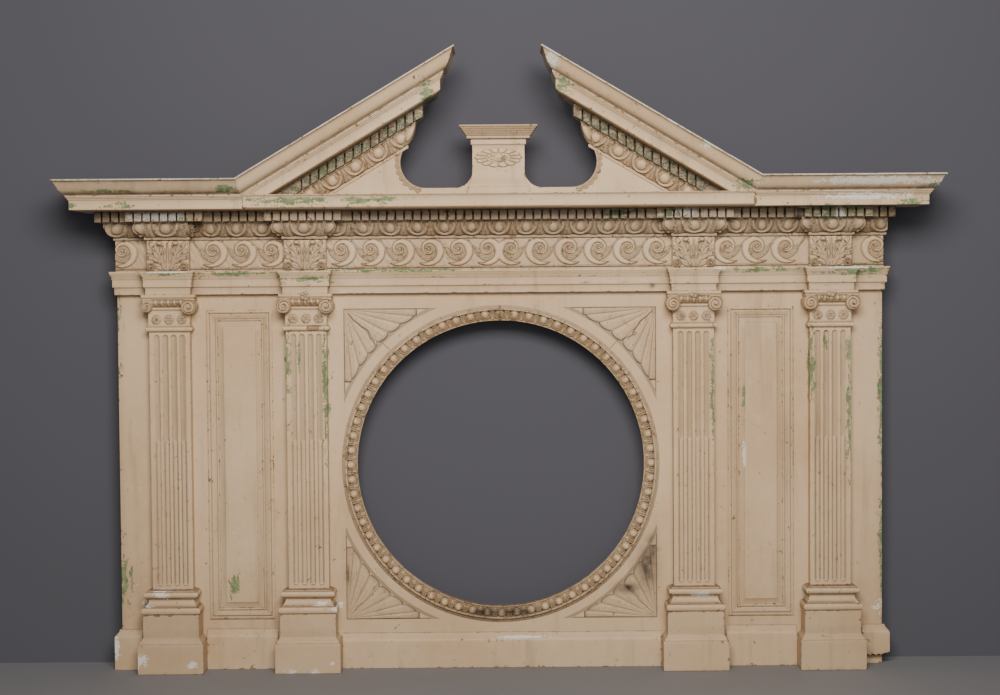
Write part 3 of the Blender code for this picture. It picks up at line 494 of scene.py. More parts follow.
def break_corners(right_stub=None, teeth=None):
    """Corners of a course that breaks forward over the pilasters and turns back at the ends"""
    edge = BOARD_HALF
    inner = edge + GAP
    corners = [(-edge, -1, BACK, 0)]
    cursor = (-edge, -1)
    for number, centre in enumerate(PILASTERS):
        left, right = (centre - BLOCK_HALF, -1), (centre + BLOCK_HALF, 1)
        corners += run_corners(2 * number, cursor, left, RECESS, teeth)
        corners += run_corners(2 * number + 1, left, right, FORWARD, teeth)
        cursor = right
    end = (edge, 1) if right_stub is None else (edge + right_stub, 0)
    corners += run_corners(8, cursor, end, RECESS, teeth)
    if right_stub is None:
        corners += [(edge, 1, BACK, 0), (inner, 0, BACK, 0), (inner, 0, GAP, 0)]
    else:
        corners.append((end[0], 0, GAP, 0))
    return corners + [(-inner, 0, GAP, 0), (-inner, 0, BACK, 0)]


def run_corners(number, start, end, plane, teeth):
    corners = [(*start, plane, 1)]
    if teeth:
        corners += teeth(number, start, end, plane)
    return corners + [(*end, plane, 1)]


# Plain pieces

def back_board():
    """Board with its round opening: rays from the circle to the board's outline"""
    top = Z_CORONA - GAP
    corners = [math.atan2(z, x) for x in (BOARD_HALF, -BOARD_HALF) for z in (top - OPEN_Z, -OPEN_Z)]
    angles = np.unique(np.concatenate((np.linspace(-math.pi, math.pi, 361)[:-1], corners)))
    x, z = np.cos(angles), np.sin(angles)
    reach = np.minimum(BOARD_HALF / np.maximum(np.abs(x), 1e-9),
                       np.where(z > 0, top - OPEN_Z, OPEN_Z) / np.maximum(np.abs(z), 1e-9))
    shares = np.concatenate(([0.0, 0.002], steps(34)[1:-1], [0.9985, 1.0]))
    radius = (OPEN_R + 0.002) * (1 - shares)[None] + reach[:, None] * shares[None]
    front = place(x[:, None] * radius, 0.0, OPEN_Z + z[:, None] * radius)
    rim = np.zeros_like(radius)
    rim[:, -1] = 0.0006
    front[..., 1] += rim
    back = place(x[:, None] * radius[:, [-1, 0]], BACK, OPEN_Z + z[:, None] * radius[:, [-1, 0]])
    tube("back_board_ground", np.concatenate((front, back), axis=1), ["back_board"], loop=True, nicks=0.0,
         material=BOARD_PAINT)


def framed(name, node, outline_rows, closed):
    """Rectangular moulding: rows of (inset, depth) from its outer edge inwards"""
    start, end = low(node), high(node)
    cx, cz = (start.x + end.x) / 2, (start.z + end.z) / 2
    half_w, half_h = (end.x - start.x) / 2, (end.z - start.z) / 2
    reference = refine([(-1, -1, 0), (1, -1, 0), (1, 1, 0), (-1, 1, 0)], 0.060, closed=True)[:, :2]
    rings = []
    for inset, depth in outline_rows:
        x = cx + reference[:, 0] * (half_w - inset)
        z = cz + reference[:, 1] * (half_h - inset)
        rings.append(place(x, depth, z))
    tube(name, rings, [node], loop=closed)


def panels():
    for side, _ in SIDES:
        node = "panel_frame_" + side
        width = high("fielded_panel_" + side).x - low("fielded_panel_" + side).x
        width = (high(node).x - low(node).x - width) / 2 - GAP
        rows = [(0.0, 0.0042), (0.0040, 0.0066), (0.0078, 0.0066), (0.0083, 0.0022), (0.0098, 0.0022),
                (0.0103, 0.0052), (0.0150, 0.0050), (0.0205, 0.0030), (0.0238, 0.0026), (0.0242, 0.0008),
                (0.0256, 0.0008), (0.0262, 0.0046), (width - 0.0022, 0.0050), (width, 0.0022)]
        rows = [(0.0, GAP)] + [tuple(row) for row in soften(rows, 0.0005)] + [(width, GAP)]
        framed(node + "_moulding", node, rows, True)
        rows = [(0.0035, 0.0012), (0.0150, 0.0044), (0.0158, 0.0060), (0.0185, 0.0062)]
        rows += [(inset, 0.0060) for inset in (0.0250, 0.0330, 0.0420, 0.0520, 0.0595)]
        rows = [(0.0, GAP), (0.0, 0.0012)] + [tuple(row) for row in soften(rows, 0.0006)]
        framed("raised_field_" + side, "fielded_panel_" + side, rows, False)


def skirting():
    for name in ("left_end", "left_bay", "centre", "right_bay", "right_end"):
        node = "skirting_" + name
        start, end = low(node), high(node)
        out = FACE_Y - start.y
        rows = [(start.z, out)] + ogee(end.z - 0.0215, out, end.z - 0.002, 0.0065) + [(end.z, 0.0060)]
        rows = refine(soften(rows, 0.0010), 0.008)
        if name.endswith("end"):
            side = -1 if name.startswith("left") else 1
            inner = end.x if side < 0 else start.x
            edge, behind = side * BOARD_HALF, side * (BOARD_HALF + GAP)
            corners = [(inner, 0, GAP, 0), (inner, 0, 0, 1), (edge, side, 0, 1), (edge, side, BACK, 0),
                       (behind, 0, BACK, 0), (behind, 0, GAP, 0)]
        else:
            corners = [(start.x, 0, GAP, 0), (start.x, 0, 0, 1), (end.x, 0, 0, 1), (end.x, 0, GAP, 0)]
        stack("skirting_board_" + name, Plan(corners, 0.008), rows, [node],
              relief=broken_foot if name == "right_end" else None)


def broken_foot(plan, row, z, out):
    """Splintered lower edge of the broken end of the skirting"""
    x, _ = plan.at(out)
    ragged = 0.0035 * np.sin(x * 610.0) + 0.0025 * np.sin(x * 1430.0 + 1.0)
    near = max(0.0, 1.0 - (z - low("skirting_right_end").z) / 0.02)
    outer = unit((x - BOARD_HALF) / 0.012)
    drop = -(np.abs(ragged) + outer * 0.006) * near
    return np.zeros_like(x), drop, np.full_like(x, 0.3 * near)


# How much darker each pedestal is painted
PEDESTAL_DARK = {1: 0.13, 2: 0.08, 3: 0.03, 4: 0.09}


def pedestals():
    for n in NUMBERS:
        node = "pedestal_%d" % n
        centre = middle_x(node)
        top = high(node).z + GAP
        die = (high("base_%d" % n).x - low("base_%d" % n).x) / 2 - 0.004
        depth = die - 0.0065
        step = (high(node).x - low(node).x) / 2 - die
        rows = [(0.0, step - 0.0008), (0.0010, step), (0.0825, step), (0.083, step - 0.0025)]
        rows += ogee(0.0832, step - 0.0030, 0.0985, 0.0012) + [(0.0995, 0.0), (top - GAP, 0.0)]
        rows = refine(soften(rows, 0.0012), 0.009)
        stack("plinth_and_die_%d" % n, pier_plan(centre, die, depth), rows, [node], nicks=0.0022,
              dark=PEDESTAL_DARK[n])


def bases():
    for n in NUMBERS:
        node = "base_%d" % n
        centre = middle_x(node)
        die = (high(node).x - low(node).x) / 2 - 0.004
        z0, z3 = low(node).z, high(node).z
        z1, z2 = z0 + 0.0205, z3 - 0.0195
        rows = [(z0, -0.0035)] + bulge(z0 + 0.0005, z1 - 0.001, -0.002, 0.004)
        rows += [(z1, -0.006), (z1 + 0.003, -0.006)]
        rows += [(z1 + 0.0035 + (z2 - z1 - 0.0075) * t, -0.0075 - 0.0075 * math.sin(math.pi * t * 0.62))
                 for t in steps(10)]
        rows += [(z2 - 0.003, -0.0110), (z2 - 0.0005, -0.0110)] + bulge(z2, z3 - 0.003, -0.0095, -0.0025)
        rows += [(z3 - 0.0025, -0.0120), (z3, -0.0130)]
        stack("attic_base_%d" % n, pier_plan(centre, die, die - 0.0065), np.array(rows), [node], nicks=0.0016)


FLUTES = 4
FLUTE_PITCH = 0.0241
FLUTE_HALF = 0.0074
FLUTE_DEPTH = 0.0055
CABLE_TOP = 0.4115
FLUTE_FOOT = 0.010
FLUTE_HEAD = 0.0085


def shafts():
    """Shafts with round-headed flutes, filled with reeds in their lower half"""
    for n in NUMBERS:
        node = "shaft_%d" % n
        start, end = low(node), high(node)
        centre = middle_x(node)
        half = (end.x - start.x) / 2
        foot = start.z + FLUTE_FOOT
        head = end.z - FLUTE_HEAD
        cable = start.z + CABLE_TOP

        def flutes(plan, row, z, out):
            x, depth = plan.at(out)
            front = depth > FACE_Y - start.y - 0.003
            off = x - centre
            lane = np.round(off / FLUTE_PITCH - 0.5) + 0.5
            lane = np.clip(lane, -(FLUTES - 1) / 2, (FLUTES - 1) / 2)
            a = (off - lane * FLUTE_PITCH) / FLUTE_HALF
            into = max(0.0, FLUTE_HALF - (head - z), FLUTE_HALF - (z - foot)) / FLUTE_HALF
            inside = unit(1.0 - a * a - into * into)
            cut = FLUTE_DEPTH * np.sqrt(inside) * front
            reed = 0.0042 * np.sqrt(unit(1.0 - (a / 0.78) ** 2)) * front
            end_reed = 1.0 / (1.0 + math.exp((z - cable) / 0.0012))
            lift = -cut + np.where(inside > 0, reed * end_reed, 0.0)
            if z > head or z < foot:
                lift = lift * 0.0
            # The third value is painted shade in the depth of the flutes
            return lift, 0.0, unit(-lift / FLUTE_DEPTH) * 0.60

        fine = [refine([[start.z], [foot - 0.001]], 0.003)[:, 0]]
        for z0, z1, step in ((foot, foot + 0.008, 0.0015), (foot + 0.009, cable - 0.006, 0.012),
                             (cable - 0.005, cable + 0.005, 0.002), (cable + 0.012, head - 0.009, 0.012),
                             (head - 0.008, head + 0.001, 0.001)):
            fine.append(np.arange(z0, z1, step))
        fine = np.concatenate(fine + [[end.z - 0.004, end.z]])
        plan = pier_plan(centre, half, FACE_Y - start.y, step=0.0015)
        stack("fluted_shaft_%d" % n, plan, [(z, 0.0) for z in fine], [node], relief=flutes, nicks=0.0014)


# Capitals

CAPITAL_DEPTH = 0.034
ECHINUS_H = 0.0435
VOLUTE_X = 0.0585
VOLUTE_R = 0.0200
VOLUTE_DROP = 0.034
VOLUTE_OUT = 0.058
WORN_VOLUTE_R = 0.0150
FLOWER_PITCH = 0.035
FLOWER_R = 0.0118
SMALL_EGG_PITCH = 0.0175


def flower(dx, dz, radius, petals, height):
    """Relief of a small daisy"""
    r = np.hypot(dx, dz) / radius
    around = np.abs(np.cos(np.arctan2(dz, dx) * petals / 2))
    petal = np.sqrt(unit(1.0 - (np.abs(r - 0.64) / 0.36) ** 2)) * (0.30 + 0.70 * around ** 0.7)
    heart = np.sqrt(unit(1.0 - (r / 0.24) ** 2)) * 0.8
    return height * np.maximum(petal * (r < 1.0), heart)


def capital_relief(centre, lost):
    neck_top = Z_ARCHITRAVE - ECHINUS_H
    flower_z = (Z_CAPITAL + neck_top + 0.0065) / 2
    egg_z = neck_top + 0.0195

    def relief(plan, row, z, out):
        x, depth = plan.at(out)
        front = depth > 0.028
        dx = x - centre
        lane = np.clip(np.round(dx / FLOWER_PITCH), -1, 1)
        away = dx - lane * FLOWER_PITCH
        lift = flower(away, z - flower_z, FLOWER_R, 6, 0.0050) * front
        # Painted shade round the small flowers and between the small eggs, dark where the astragal is broken
        from_edge = np.abs(np.hypot(away, z - flower_z) / FLOWER_R - 1.0)
        shade = 0.4 * unit(1.0 - from_edge * 7)
        t = (z - egg_z) / 0.0105
        if abs(t) < 1.0:
            a = dx / SMALL_EGG_PITCH
            off = np.abs(a - np.round(a))
            egg = np.sqrt(unit(1.0 - (off / 0.34) ** 2 - t * t))
            dart = unit(1.0 - (0.5 - off) / 0.07) * (1.0 - abs(t)) * 0.6
            near = np.abs(dx) < VOLUTE_X - VOLUTE_R * 0.7
            lift = lift + (0.0062 * np.maximum(egg, dart) - 0.0032) * front * near
            shade = np.maximum(shade, (1.0 - np.maximum(egg, dart)) * 0.9 * near)
        if lost and z < Z_CAPITAL + 0.0150 and z > Z_CAPITAL + 0.002:
            bite = (dx > lost[0]) & (dx < lost[1]) & front
            lift = np.where(bite, -0.0065 + 0.001 * np.sin(dx * 900), lift)
            shade = np.where(bite, 1.0, shade)
        return lift, 0.0, shade * front * 0.8

    return relief


def volute(x, z, radius, turn, depth0, depth1, turns=2.4):
    """Bolster with a spiral on its face: a hollow channel that winds in to an eye"""
    radial = np.concatenate((steps(30) ** 0.9, [1.0, 1.0, 1.0]))
    angles = np.linspace(0.0, 2 * math.pi, 49)[:-1]
    r = radial[::-1] * radius
    rings = []
    for angle in angles:
        wound = turn * angle / (2 * math.pi)
        share = r / radius
        phase = (1.0 - share) ** 0.85 * turns - wound
        part = phase - np.floor(phase)
        rim = hill((part - 0.5) / 0.17)
        dome = 0.0035 * (1.0 - share ** 2)
        eye = share < 0.17
        height = dome + np.where(eye, 0.0052, 0.0058 * rim - 0.0012)
        depth = depth1 + height
        depth[:3] = (depth0, depth1 - 0.002, depth1 + 0.0005)
        rings.append(place(x + r * math.cos(angle), depth, z + r * math.sin(angle)))
    points, quads, caps = tube_arrays(np.array(rings), loop=True)
    return points, quads, caps


def rose(x, z, depth, radius, share):
    """Flower on the abacus, or what is left of it below a given share of its height"""
    angles = np.linspace(0.0, 2 * math.pi, 51)[:-1]
    radial = np.concatenate(([1.0], steps(14)[::-1]))
    rings = []
    for angle in angles:
        r = radial * radius * (0.86 + 0.14 * abs(math.cos(angle * 2.5)))
        dx, dz = r * math.cos(angle), r * math.sin(angle)
        lift = 0.004 * (1 - radial ** 2) + flower(dx, dz, radius, 5, 0.0035)
        lift[0] = -0.010
        dz = np.minimum(dz, radius * (2 * share - 1))
        lift[1:] = np.where(dz[1:] >= radius * (2 * share - 1) - 1e-6, -0.003, lift[1:])
        rings.append(place(x + dx, depth + lift, z + dz))
    return tube_arrays(np.array(rings), loop=True)


ROSE_DROP = 0.006
ROSE_OUT = 0.052
ROSE_R = 0.0140

# How much is left of each capital's rose, and where its astragal is lost
ROSE_SHARE = {1: 0.0, 2: 1.0, 3: 0.55, 4: 0.6}
LOST_ASTRAGAL = {1: None, 2: (0.004, 0.036), 3: None, 4: None}


def capitals():
    neck_top = Z_ARCHITRAVE - ECHINUS_H
    for n in NUMBERS:
        node = "capital_%d" % n
        centre = middle_x("shaft_%d" % n)
        half = (high("shaft_%d" % n).x - low("shaft_%d" % n).x) / 2
        rows = [(Z_CAPITAL, 0.0015)] + bulge(Z_CAPITAL + 0.0005, Z_CAPITAL + 0.0140, 0.0025, 0.0085)
        rows += [(Z_CAPITAL + 0.0150, 0.0045), (Z_CAPITAL + 0.0175, 0.0010), (neck_top, 0.0010)]
        rows += bulge(neck_top + 0.0005, neck_top + 0.0080, 0.0020, 0.0062, 6)
        rows += [(neck_top + 0.0095, 0.0030), (neck_top + 0.0105, 0.0050), (neck_top + 0.0200, 0.0140),
                 (neck_top + 0.0270, 0.0150), (neck_top + 0.0278, 0.0165), (neck_top + 0.0310, 0.0175),
                 (neck_top + 0.0330, 0.0140), (neck_top + 0.0340, 0.0150), (neck_top + 0.0365, 0.0178),
                 (Z_ARCHITRAVE - GAP, 0.0180)]
        rows = refine(soften(rows, 0.0006), 0.0018)
        plan = pier_plan(centre, half, CAPITAL_DEPTH, step=0.0019)
        relief = capital_relief(centre, LOST_ASTRAGAL[n])
        rings, dirt = stack_rings(plan, rows, relief)
        parts, dirt = [tube_arrays(rings)], [dirt]
        for side in (-1, 1):
            worn = n == 1 and side < 0
            radius = WORN_VOLUTE_R if worn else VOLUTE_R
            curl = volute(centre + side * VOLUTE_X, Z_ARCHITRAVE - VOLUTE_DROP, radius, -side, 0.006,
                          VOLUTE_OUT - (0.006 if worn else 0.0))
            parts.append(curl)
            dirt.append(np.zeros(len(curl[0])))
        if ROSE_SHARE[n]:
            petals = rose(centre, Z_ARCHITRAVE - ROSE_DROP, ROSE_OUT, ROSE_R, ROSE_SHARE[n])
            parts.append(petals)
            dirt.append(np.full(len(petals[0]), 0.25))
        finish_mesh("ionic_capital_%d" % n, *join_arrays(parts), [node], dirt=np.concatenate(dirt),
                    nicks=0.0012)


# Entablature

def architrave():
    z0, z1 = Z_ARCHITRAVE, Z_FRIEZE - GAP
    rows = [(z0, 0.0035), (z0 + 0.0190, 0.0040), (z0 + 0.0198, 0.0062), (z0 + 0.0208, 0.0085),
            (z0 + 0.0415, 0.0085)]
    rows += bulge(z0 + 0.0420, z0 + 0.0450, 0.0088, 0.0110, 6)
    rows += ogee(z0 + 0.0455, 0.0095, z1 - 0.0065, 0.0145) + [(z1 - 0.0062, 0.0158), (z1, 0.0158)]
    profile = refine(soften(rows, 0.0008), 0.004)
    stack("moulded_architrave", Plan(break_corners(), 0.012), profile, ["architrave"], nicks=0.0016)


WAVE_PITCH = 0.0812
WAVE_OFFSET = 0.41
WAVE_EYE_DROP = 0.0295
WAVE_ROOM = 0.0215
WAVE_H = 0.0068
WAVE_SUNK = 0.0030
FRIEZE_GRID = (1090, 54)


def wave_places():
    """Eyes of the wave scrolls: x, and the side that they curl to"""
    places = []
    room = PILASTERS[2] - BLOCK_HALF - WAVE_ROOM
    for k in range(int(room / WAVE_PITCH - WAVE_OFFSET) + 1):
        places.append(((k + WAVE_OFFSET) * WAVE_PITCH, 1))
    for k in (-1, 0, 1):
        places.append((BAY_X - 0.0115 + k * WAVE_PITCH, 1))
    places.append((BOARD_HALF - 0.0197, 1))
    return [(-x, -1) for x, _ in places] + places


# Edges of the two bands of a wave, as radius at turns of angle round its eye
BAND_TURN = (-125, -90, -45, 0, 45, 90, 180, 270, 360, 450, 540)
BAND_OUTER = (0.0470, 0.0465, 0.0450, 0.0426, 0.0340, 0.0270, 0.0200, 0.0160, 0.0125, 0.0096, 0.0075)
BAND_INNER = (0.0460, 0.0346, 0.0270, 0.0186, 0.0165, 0.0148, 0.0118, 0.0090, 0.0065, 0.0046, 0.0035)
REED_TURN = (-206, -190, -180, -135, -90, -45, -8)
REED_OUTER = (0.0600, 0.0425, 0.0360, 0.0325, 0.0343, 0.0268, 0.0186)
REED_INNER = (0.0560, 0.0350, 0.0205, 0.0168, 0.0163, 0.0172, 0.0184)
EYE_R = 0.0046


def band_share(radius, angle, turns, outer, inner):
    """Place across a band from -1 to 1, or beyond where the point is off it"""
    best = np.full_like(radius, 9.0)
    for lap in range(-2, 3):
        a = angle + 360.0 * lap
        inside = (a >= turns[0]) & (a <= turns[-1])
        r1 = np.interp(a, turns, outer)
        r0 = np.interp(a, turns, inner)
        share = (radius - (r0 + r1) / 2) / np.maximum((r1 - r0) / 2, 1e-5)
        share = np.where(inside, share, 9.0)
        best = np.where(np.abs(share) < np.abs(best), share, best)
    return best


def wave_relief(dx, dz):
    """Height of one running wave over the frieze"""
    radius = np.hypot(dx, dz)
    angle = np.degrees(np.arctan2(dz, dx))
    band = band_share(radius, angle, BAND_TURN, BAND_OUTER, BAND_INNER)
    reed = band_share(radius, angle, REED_TURN, REED_OUTER, REED_INNER)
    on_band = unit(1.0 - band ** 4) ** 0.5 * (np.abs(band) < 1)
    lines = 0.40 + 0.60 * np.abs(np.sin((reed + 1.0) * 1.5 * math.pi)) ** 0.6
    on_reed = unit(1.0 - reed ** 6) * lines * (np.abs(reed) < 1)
    eye = np.sqrt(unit(1.0 - (radius / EYE_R) ** 2))
    return np.maximum(np.maximum(on_band, 0.80 * on_reed), eye)


def frieze_height(x, z):
    """Height and painted shade of the whole frieze at a grid of places: shade in the ground between the waves
    and in the groove of the rail
    """
    eye_z = Z_BED - WAVE_EYE_DROP
    height = np.zeros(np.broadcast(x, z).shape)
    for cx, side in wave_places():
        near = np.abs(x[0] - cx) < 0.075
        cols = np.flatnonzero(near & (side * x[0] > 0.0))
        dx = -side * (x[:, cols] - cx)
        height[:, cols] = np.maximum(height[:, cols], wave_relief(dx, z[:, cols] - eye_z))
    ground = 1.0 - unit(height * 2.5)
    groove = unit(0.62 - height) * 0.62
    leaf = 0.16 * (0.5 + 0.5 * np.sin(x * 300.0 + z * 210.0) * np.sin(x * 97.0)) * ground
    height = WAVE_H * np.maximum(height, leaf)
    foot = z - Z_FRIEZE
    rail = np.where(foot < 0.0092, 0.0028, -1.0)
    rail = np.where(foot < 0.0058, -0.0005, rail)
    rail = np.where(foot < 0.0048, 0.0042, rail)
    height = np.where(rail > -0.9, rail, height)
    shade = groove * (foot > 0.0092) + 0.8 * ((foot > 0.0046) & (foot < 0.0060))
    return height, shade


def frieze():
    x = np.linspace(-BOARD_HALF, BOARD_HALF, FRIEZE_GRID[0])
    z = np.linspace(Z_FRIEZE, Z_BED - GAP, FRIEZE_GRID[1])
    height, shade = frieze_height(x[None] + 0 * z[:, None], z[:, None] + 0 * x[None])
    front = place(x[None], RECESS - WAVE_SUNK + height, z[:, None])
    back = place(np.array([[BOARD_HALF, -BOARD_HALF]]), GAP, z[:, None])
    sheet("wave_frieze", front, back, "frieze", shade, nicks=0.0004)


# Leaflets of one half of the acanthus: middle across and up, half length, half width, lean in degrees
LEAFLETS = (
    (0.70, 1.17, 0.25, 0.115, 52), (0.84, 0.90, 0.20, 0.095, 30), (0.82, 0.62, 0.20, 0.090, 12),
    (0.50, 1.02, 0.24, 0.095, 68), (0.56, 0.76, 0.26, 0.095, 48), (0.53, 0.50, 0.25, 0.085, 36),
    (0.29, 1.00, 0.28, 0.080, 84), (0.31, 0.66, 0.27, 0.085, 66), (0.28, 0.37, 0.24, 0.080, 54),
    (0.16, 0.17, 0.17, 0.075, 62), (0.42, 0.16, 0.20, 0.070, 20), (0.12, 0.72, 0.34, 0.055, 88),
)
LEAF_ASPECT = 1.45
LEAF_H = 0.0115
LEAF_SUNK = 0.0065
BLOCK_GRID = (104, 78)

# Dark nicks between them: middle across and up, lean in degrees
NICKS = ((0.22, 1.13, 118), (0.66, 1.14, 125), (0.68, 0.82, 60), (0.29, 0.78, 112), (0.60, 0.43, 25),
         (0.90, 0.66, 80))
NICK_LENGTH = 0.095
NICK_WIDTH = 0.034


def leaning(dx, dz, degrees, length, width):
    """Shares of a length and a width from the middle of something that leans by some degrees"""
    lean = math.radians(degrees)
    along = (dx * math.cos(lean) + dz * math.sin(lean)) / length
    across = (dz * math.cos(lean) - dx * math.sin(lean)) / width
    return along, across


def acanthus(u, v):
    """Relief of the leaf on a frieze block: u from -1 to 1, v from 0 at its foot to 1"""
    a = np.abs(u)
    w = v * LEAF_ASPECT
    height = 0.36 + 0 * a
    for cu, cw, length, width, lean in LEAFLETS:
        along, across = leaning(a - cu, w - cw, lean, length, width)
        far = along ** 2 + across ** 2
        dome = np.sqrt(unit(1.0 - far)) * (1.0 - 0.25 * hill(across / 0.16))
        height = np.maximum(height, (0.46 + 0.32 * dome + 0.10 * unit(along)) * (far < 1.0))
    stem = unit(1.0 - (a / (0.045 + 0.05 * (1 - v))) ** 2) * 0.62
    height = np.maximum(height, stem * (v < 0.90))
    curl = np.hypot((a - 0.38) / 0.155, (w - 1.31) / 0.115)
    height = np.maximum(height, 1.15 * np.sqrt(unit(1.0 - curl ** 2)))
    under = np.hypot((a - 0.38) / 0.12, (w - 1.175) / 0.045)
    height = np.where((under < 1.0) & (curl > 1.0), 0.05, height)
    r = np.hypot(a - 0.77, w - 0.215) / 0.205
    phase = (1.0 - r) * 2.2 - np.arctan2(w - 0.215, 0.77 - a) / (2 * math.pi)
    part = phase - np.floor(phase)
    scroll = 0.28 + 0.62 * hill((part - 0.5) / 0.19)
    height = np.where(r < 1.0, np.maximum(scroll, 0.9 * (r < 0.18)), height)
    for cu, cw, lean in NICKS:
        along, across = leaning(a - cu, w - cw, lean, NICK_LENGTH, NICK_WIDTH)
        height = height - 0.75 * unit(1.0 - along ** 2 - across ** 2)
    return height


def frieze_blocks():
    for n in NUMBERS:
        node = "frieze_block_%d" % n
        start, end = low(node), high(node)
        x = np.linspace(start.x, end.x, BLOCK_GRID[0])
        z = np.linspace(start.z, end.z, BLOCK_GRID[1])
        u = (2 * (x - start.x) / (end.x - start.x) - 1)[None]
        v = ((z - start.z) / (end.z - start.z))[:, None]
        leaf = acanthus(u + 0 * v, v + 0 * u)
        rim = unit((1.0 - np.abs(u)) / 0.05)
        rim = rim * unit(v / 0.03) * unit((1 - v) / 0.03)
        height = LEAF_H * np.maximum(leaf, 0.0) * rim
        front = place(x[None], FORWARD - LEAF_SUNK + height, z[:, None])
        back = place(np.array([[end.x, start.x]]), RECESS + GAP, z[:, None])
        # Painted shade where the leaf is low
        sheet("acanthus_block_%d" % n, front, back, node, unit(0.42 - leaf * 1.2) * rim, nicks=0.0006)


def egg_and_leaf(u, t, egg_w=0.175):
    """Relief of egg, husk and leaf: u is the place between eggs, -0.5 to 0.5, and t goes up the ovolo"""
    a = np.abs(u)
    egg = np.sqrt(unit(1.0 - (a / egg_w) ** 2 - ((t - 0.63) / 0.36) ** 2))
    outer = (a / 0.420) ** 2 + ((t - 0.84) / 0.84) ** 2
    inner = (a / (egg_w + 0.075)) ** 2 + ((t - 0.78) / 0.52) ** 2
    rim = unit(np.minimum((1.0 - outer) / 0.26, (inner - 1.0) / 0.60))
    husk = np.sqrt(rim) * (1.0 - 0.25 * unit(t - 0.5))
    width = 0.026 + 0.135 * (1.0 - t) ** 1.2
    side = np.abs(0.5 - a) / width
    leaf = np.sqrt(unit(1.0 - side ** 2)) * (1.0 - 0.35 * hill(side / 0.22))
    height = np.maximum(np.maximum(egg * 1.20, husk * 0.88), leaf * 0.76)
    deep = unit(1.0 - ((a - 0.265) / 0.055) ** 2 - ((t - 0.84) / 0.20) ** 2) * (egg <= 0)
    hollow = unit(1.0 - inner) ** 0.5 * (egg <= 0)
    return height - 0.22 * hollow - 0.65 * deep


def corner_leaf(off, t):
    """Relief of the egg-like leaf at an outer corner: off is the distance from the corner in metres"""
    t = np.maximum(t, 0.0)
    half = 0.0125 * unit(0.45 + 0.75 * t)
    bulb = np.sqrt(unit(1.0 - ((off - 0.0110) / half) ** 2 - ((t - 0.64) / 0.38) ** 2))
    sweep = hill((off - 0.0190 - 0.0160 * t ** 1.5) / 0.0032)
    deep = hill((off - 0.0275) / 0.0022) * (t > 0.62)
    return np.maximum(bulb * 0.95, sweep * 0.72) - 0.8 * deep * (bulb <= 0)


EGG_RELIEF = 0.0078
EGG_FORWARD = 0.8
EGG_DOWN = 0.45
RAKE_EGG_X = 0.2650
RAKE_EGG_PITCH = 0.0735
FRONT_PITCH = 0.0874


def bed_profile():
    """Fillet, ovolo and top fillet: height, out, and place up the ovolo or -1"""
    rows = [(0.0, 0.0030, -1.0), (0.0008, 0.0042, -1.0), (0.0045, 0.0050, -1.0), (0.0078, 0.0042, -1.0),
            (0.0086, 0.0015, -1.0), (0.0094, 0.0015, -1.0)]
    bottom, top = 0.0096, BED_H - 0.0036
    for t in steps(26):
        angle = math.pi / 2 * t
        rows.append((bottom + (top - bottom) * ((1 - math.cos(angle)) * 0.5 + t * 0.5),
                     0.0055 + (OVOLO_OUT - 0.0055) * math.sin(angle), t))
    rows += [(top + 0.0003, OVOLO_OUT + 0.0018, -1.0), (top + 0.0008, OVOLO_OUT + 0.0024, -1.0),
             (BED_H - GAP, OVOLO_OUT + 0.0024, -1.0)]
    return rows


def egg_offset(x, depth, out):
    """Place between eggs along the level course, and how far it fades at the inner corners"""
    forward = depth - out > FORWARD - 0.002
    near_pier = np.array(PILASTERS)[np.abs(x[:, None] - np.array(PILASTERS)[None]).argmin(1)]
    from_pier = x - near_pier
    corner = BLOCK_HALF + out
    on_front = forward & (np.abs(from_pier) < corner + 1e-6)
    to_corner = corner - np.abs(from_pier)
    wrap = on_front & (np.abs(from_pier) > FRONT_PITCH * 0.5)
    u_front = from_pier / FRONT_PITCH
    on_return = (~on_front) & (np.abs(np.abs(from_pier) - corner) < 1e-4) & (depth > RECESS + out + 1e-5)
    u_return = (FORWARD + out - depth) / EGG_PITCH
    centre_run = np.abs(x) < PILASTERS[2]
    along = np.where(centre_run, x, np.sign(x) * (np.abs(x) - BAY_X))
    pitch = np.where(centre_run, EGG_PITCH, EGG_PITCH - 0.003)
    last = np.where(centre_run, 5, 1) * pitch
    nearest = np.clip(np.round(along / pitch) * pitch, -last, last)
    u_recess = (along - nearest) / pitch
    beyond = np.abs(x) > PILASTERS[3]
    u_recess = np.where(beyond, (np.abs(x) - (BOARD_HALF - 0.011)) / EGG_PITCH, u_recess)
    over = np.abs(u_recess) > 0.5
    u_recess = np.where(over, np.sign(u_recess) * (1.0 - np.minimum(np.abs(u_recess), 0.99)), u_recess)
    u = np.where(on_front, u_front, np.where(on_return, u_return, u_recess))
    room = np.where(on_return, depth - RECESS - out, np.abs(np.abs(from_pier) - corner))
    fade = np.where(on_front, 1.0, unit(room / 0.006))
    side_wall = depth < RECESS + out - 1e-5
    fade = np.where(side_wall, 0.0, fade)
    wrap_off = np.where(on_return, FORWARD + out - depth, to_corner)
    wrap = wrap | (on_return & (wrap_off < 0.020))
    return u, fade, wrap, wrap_off


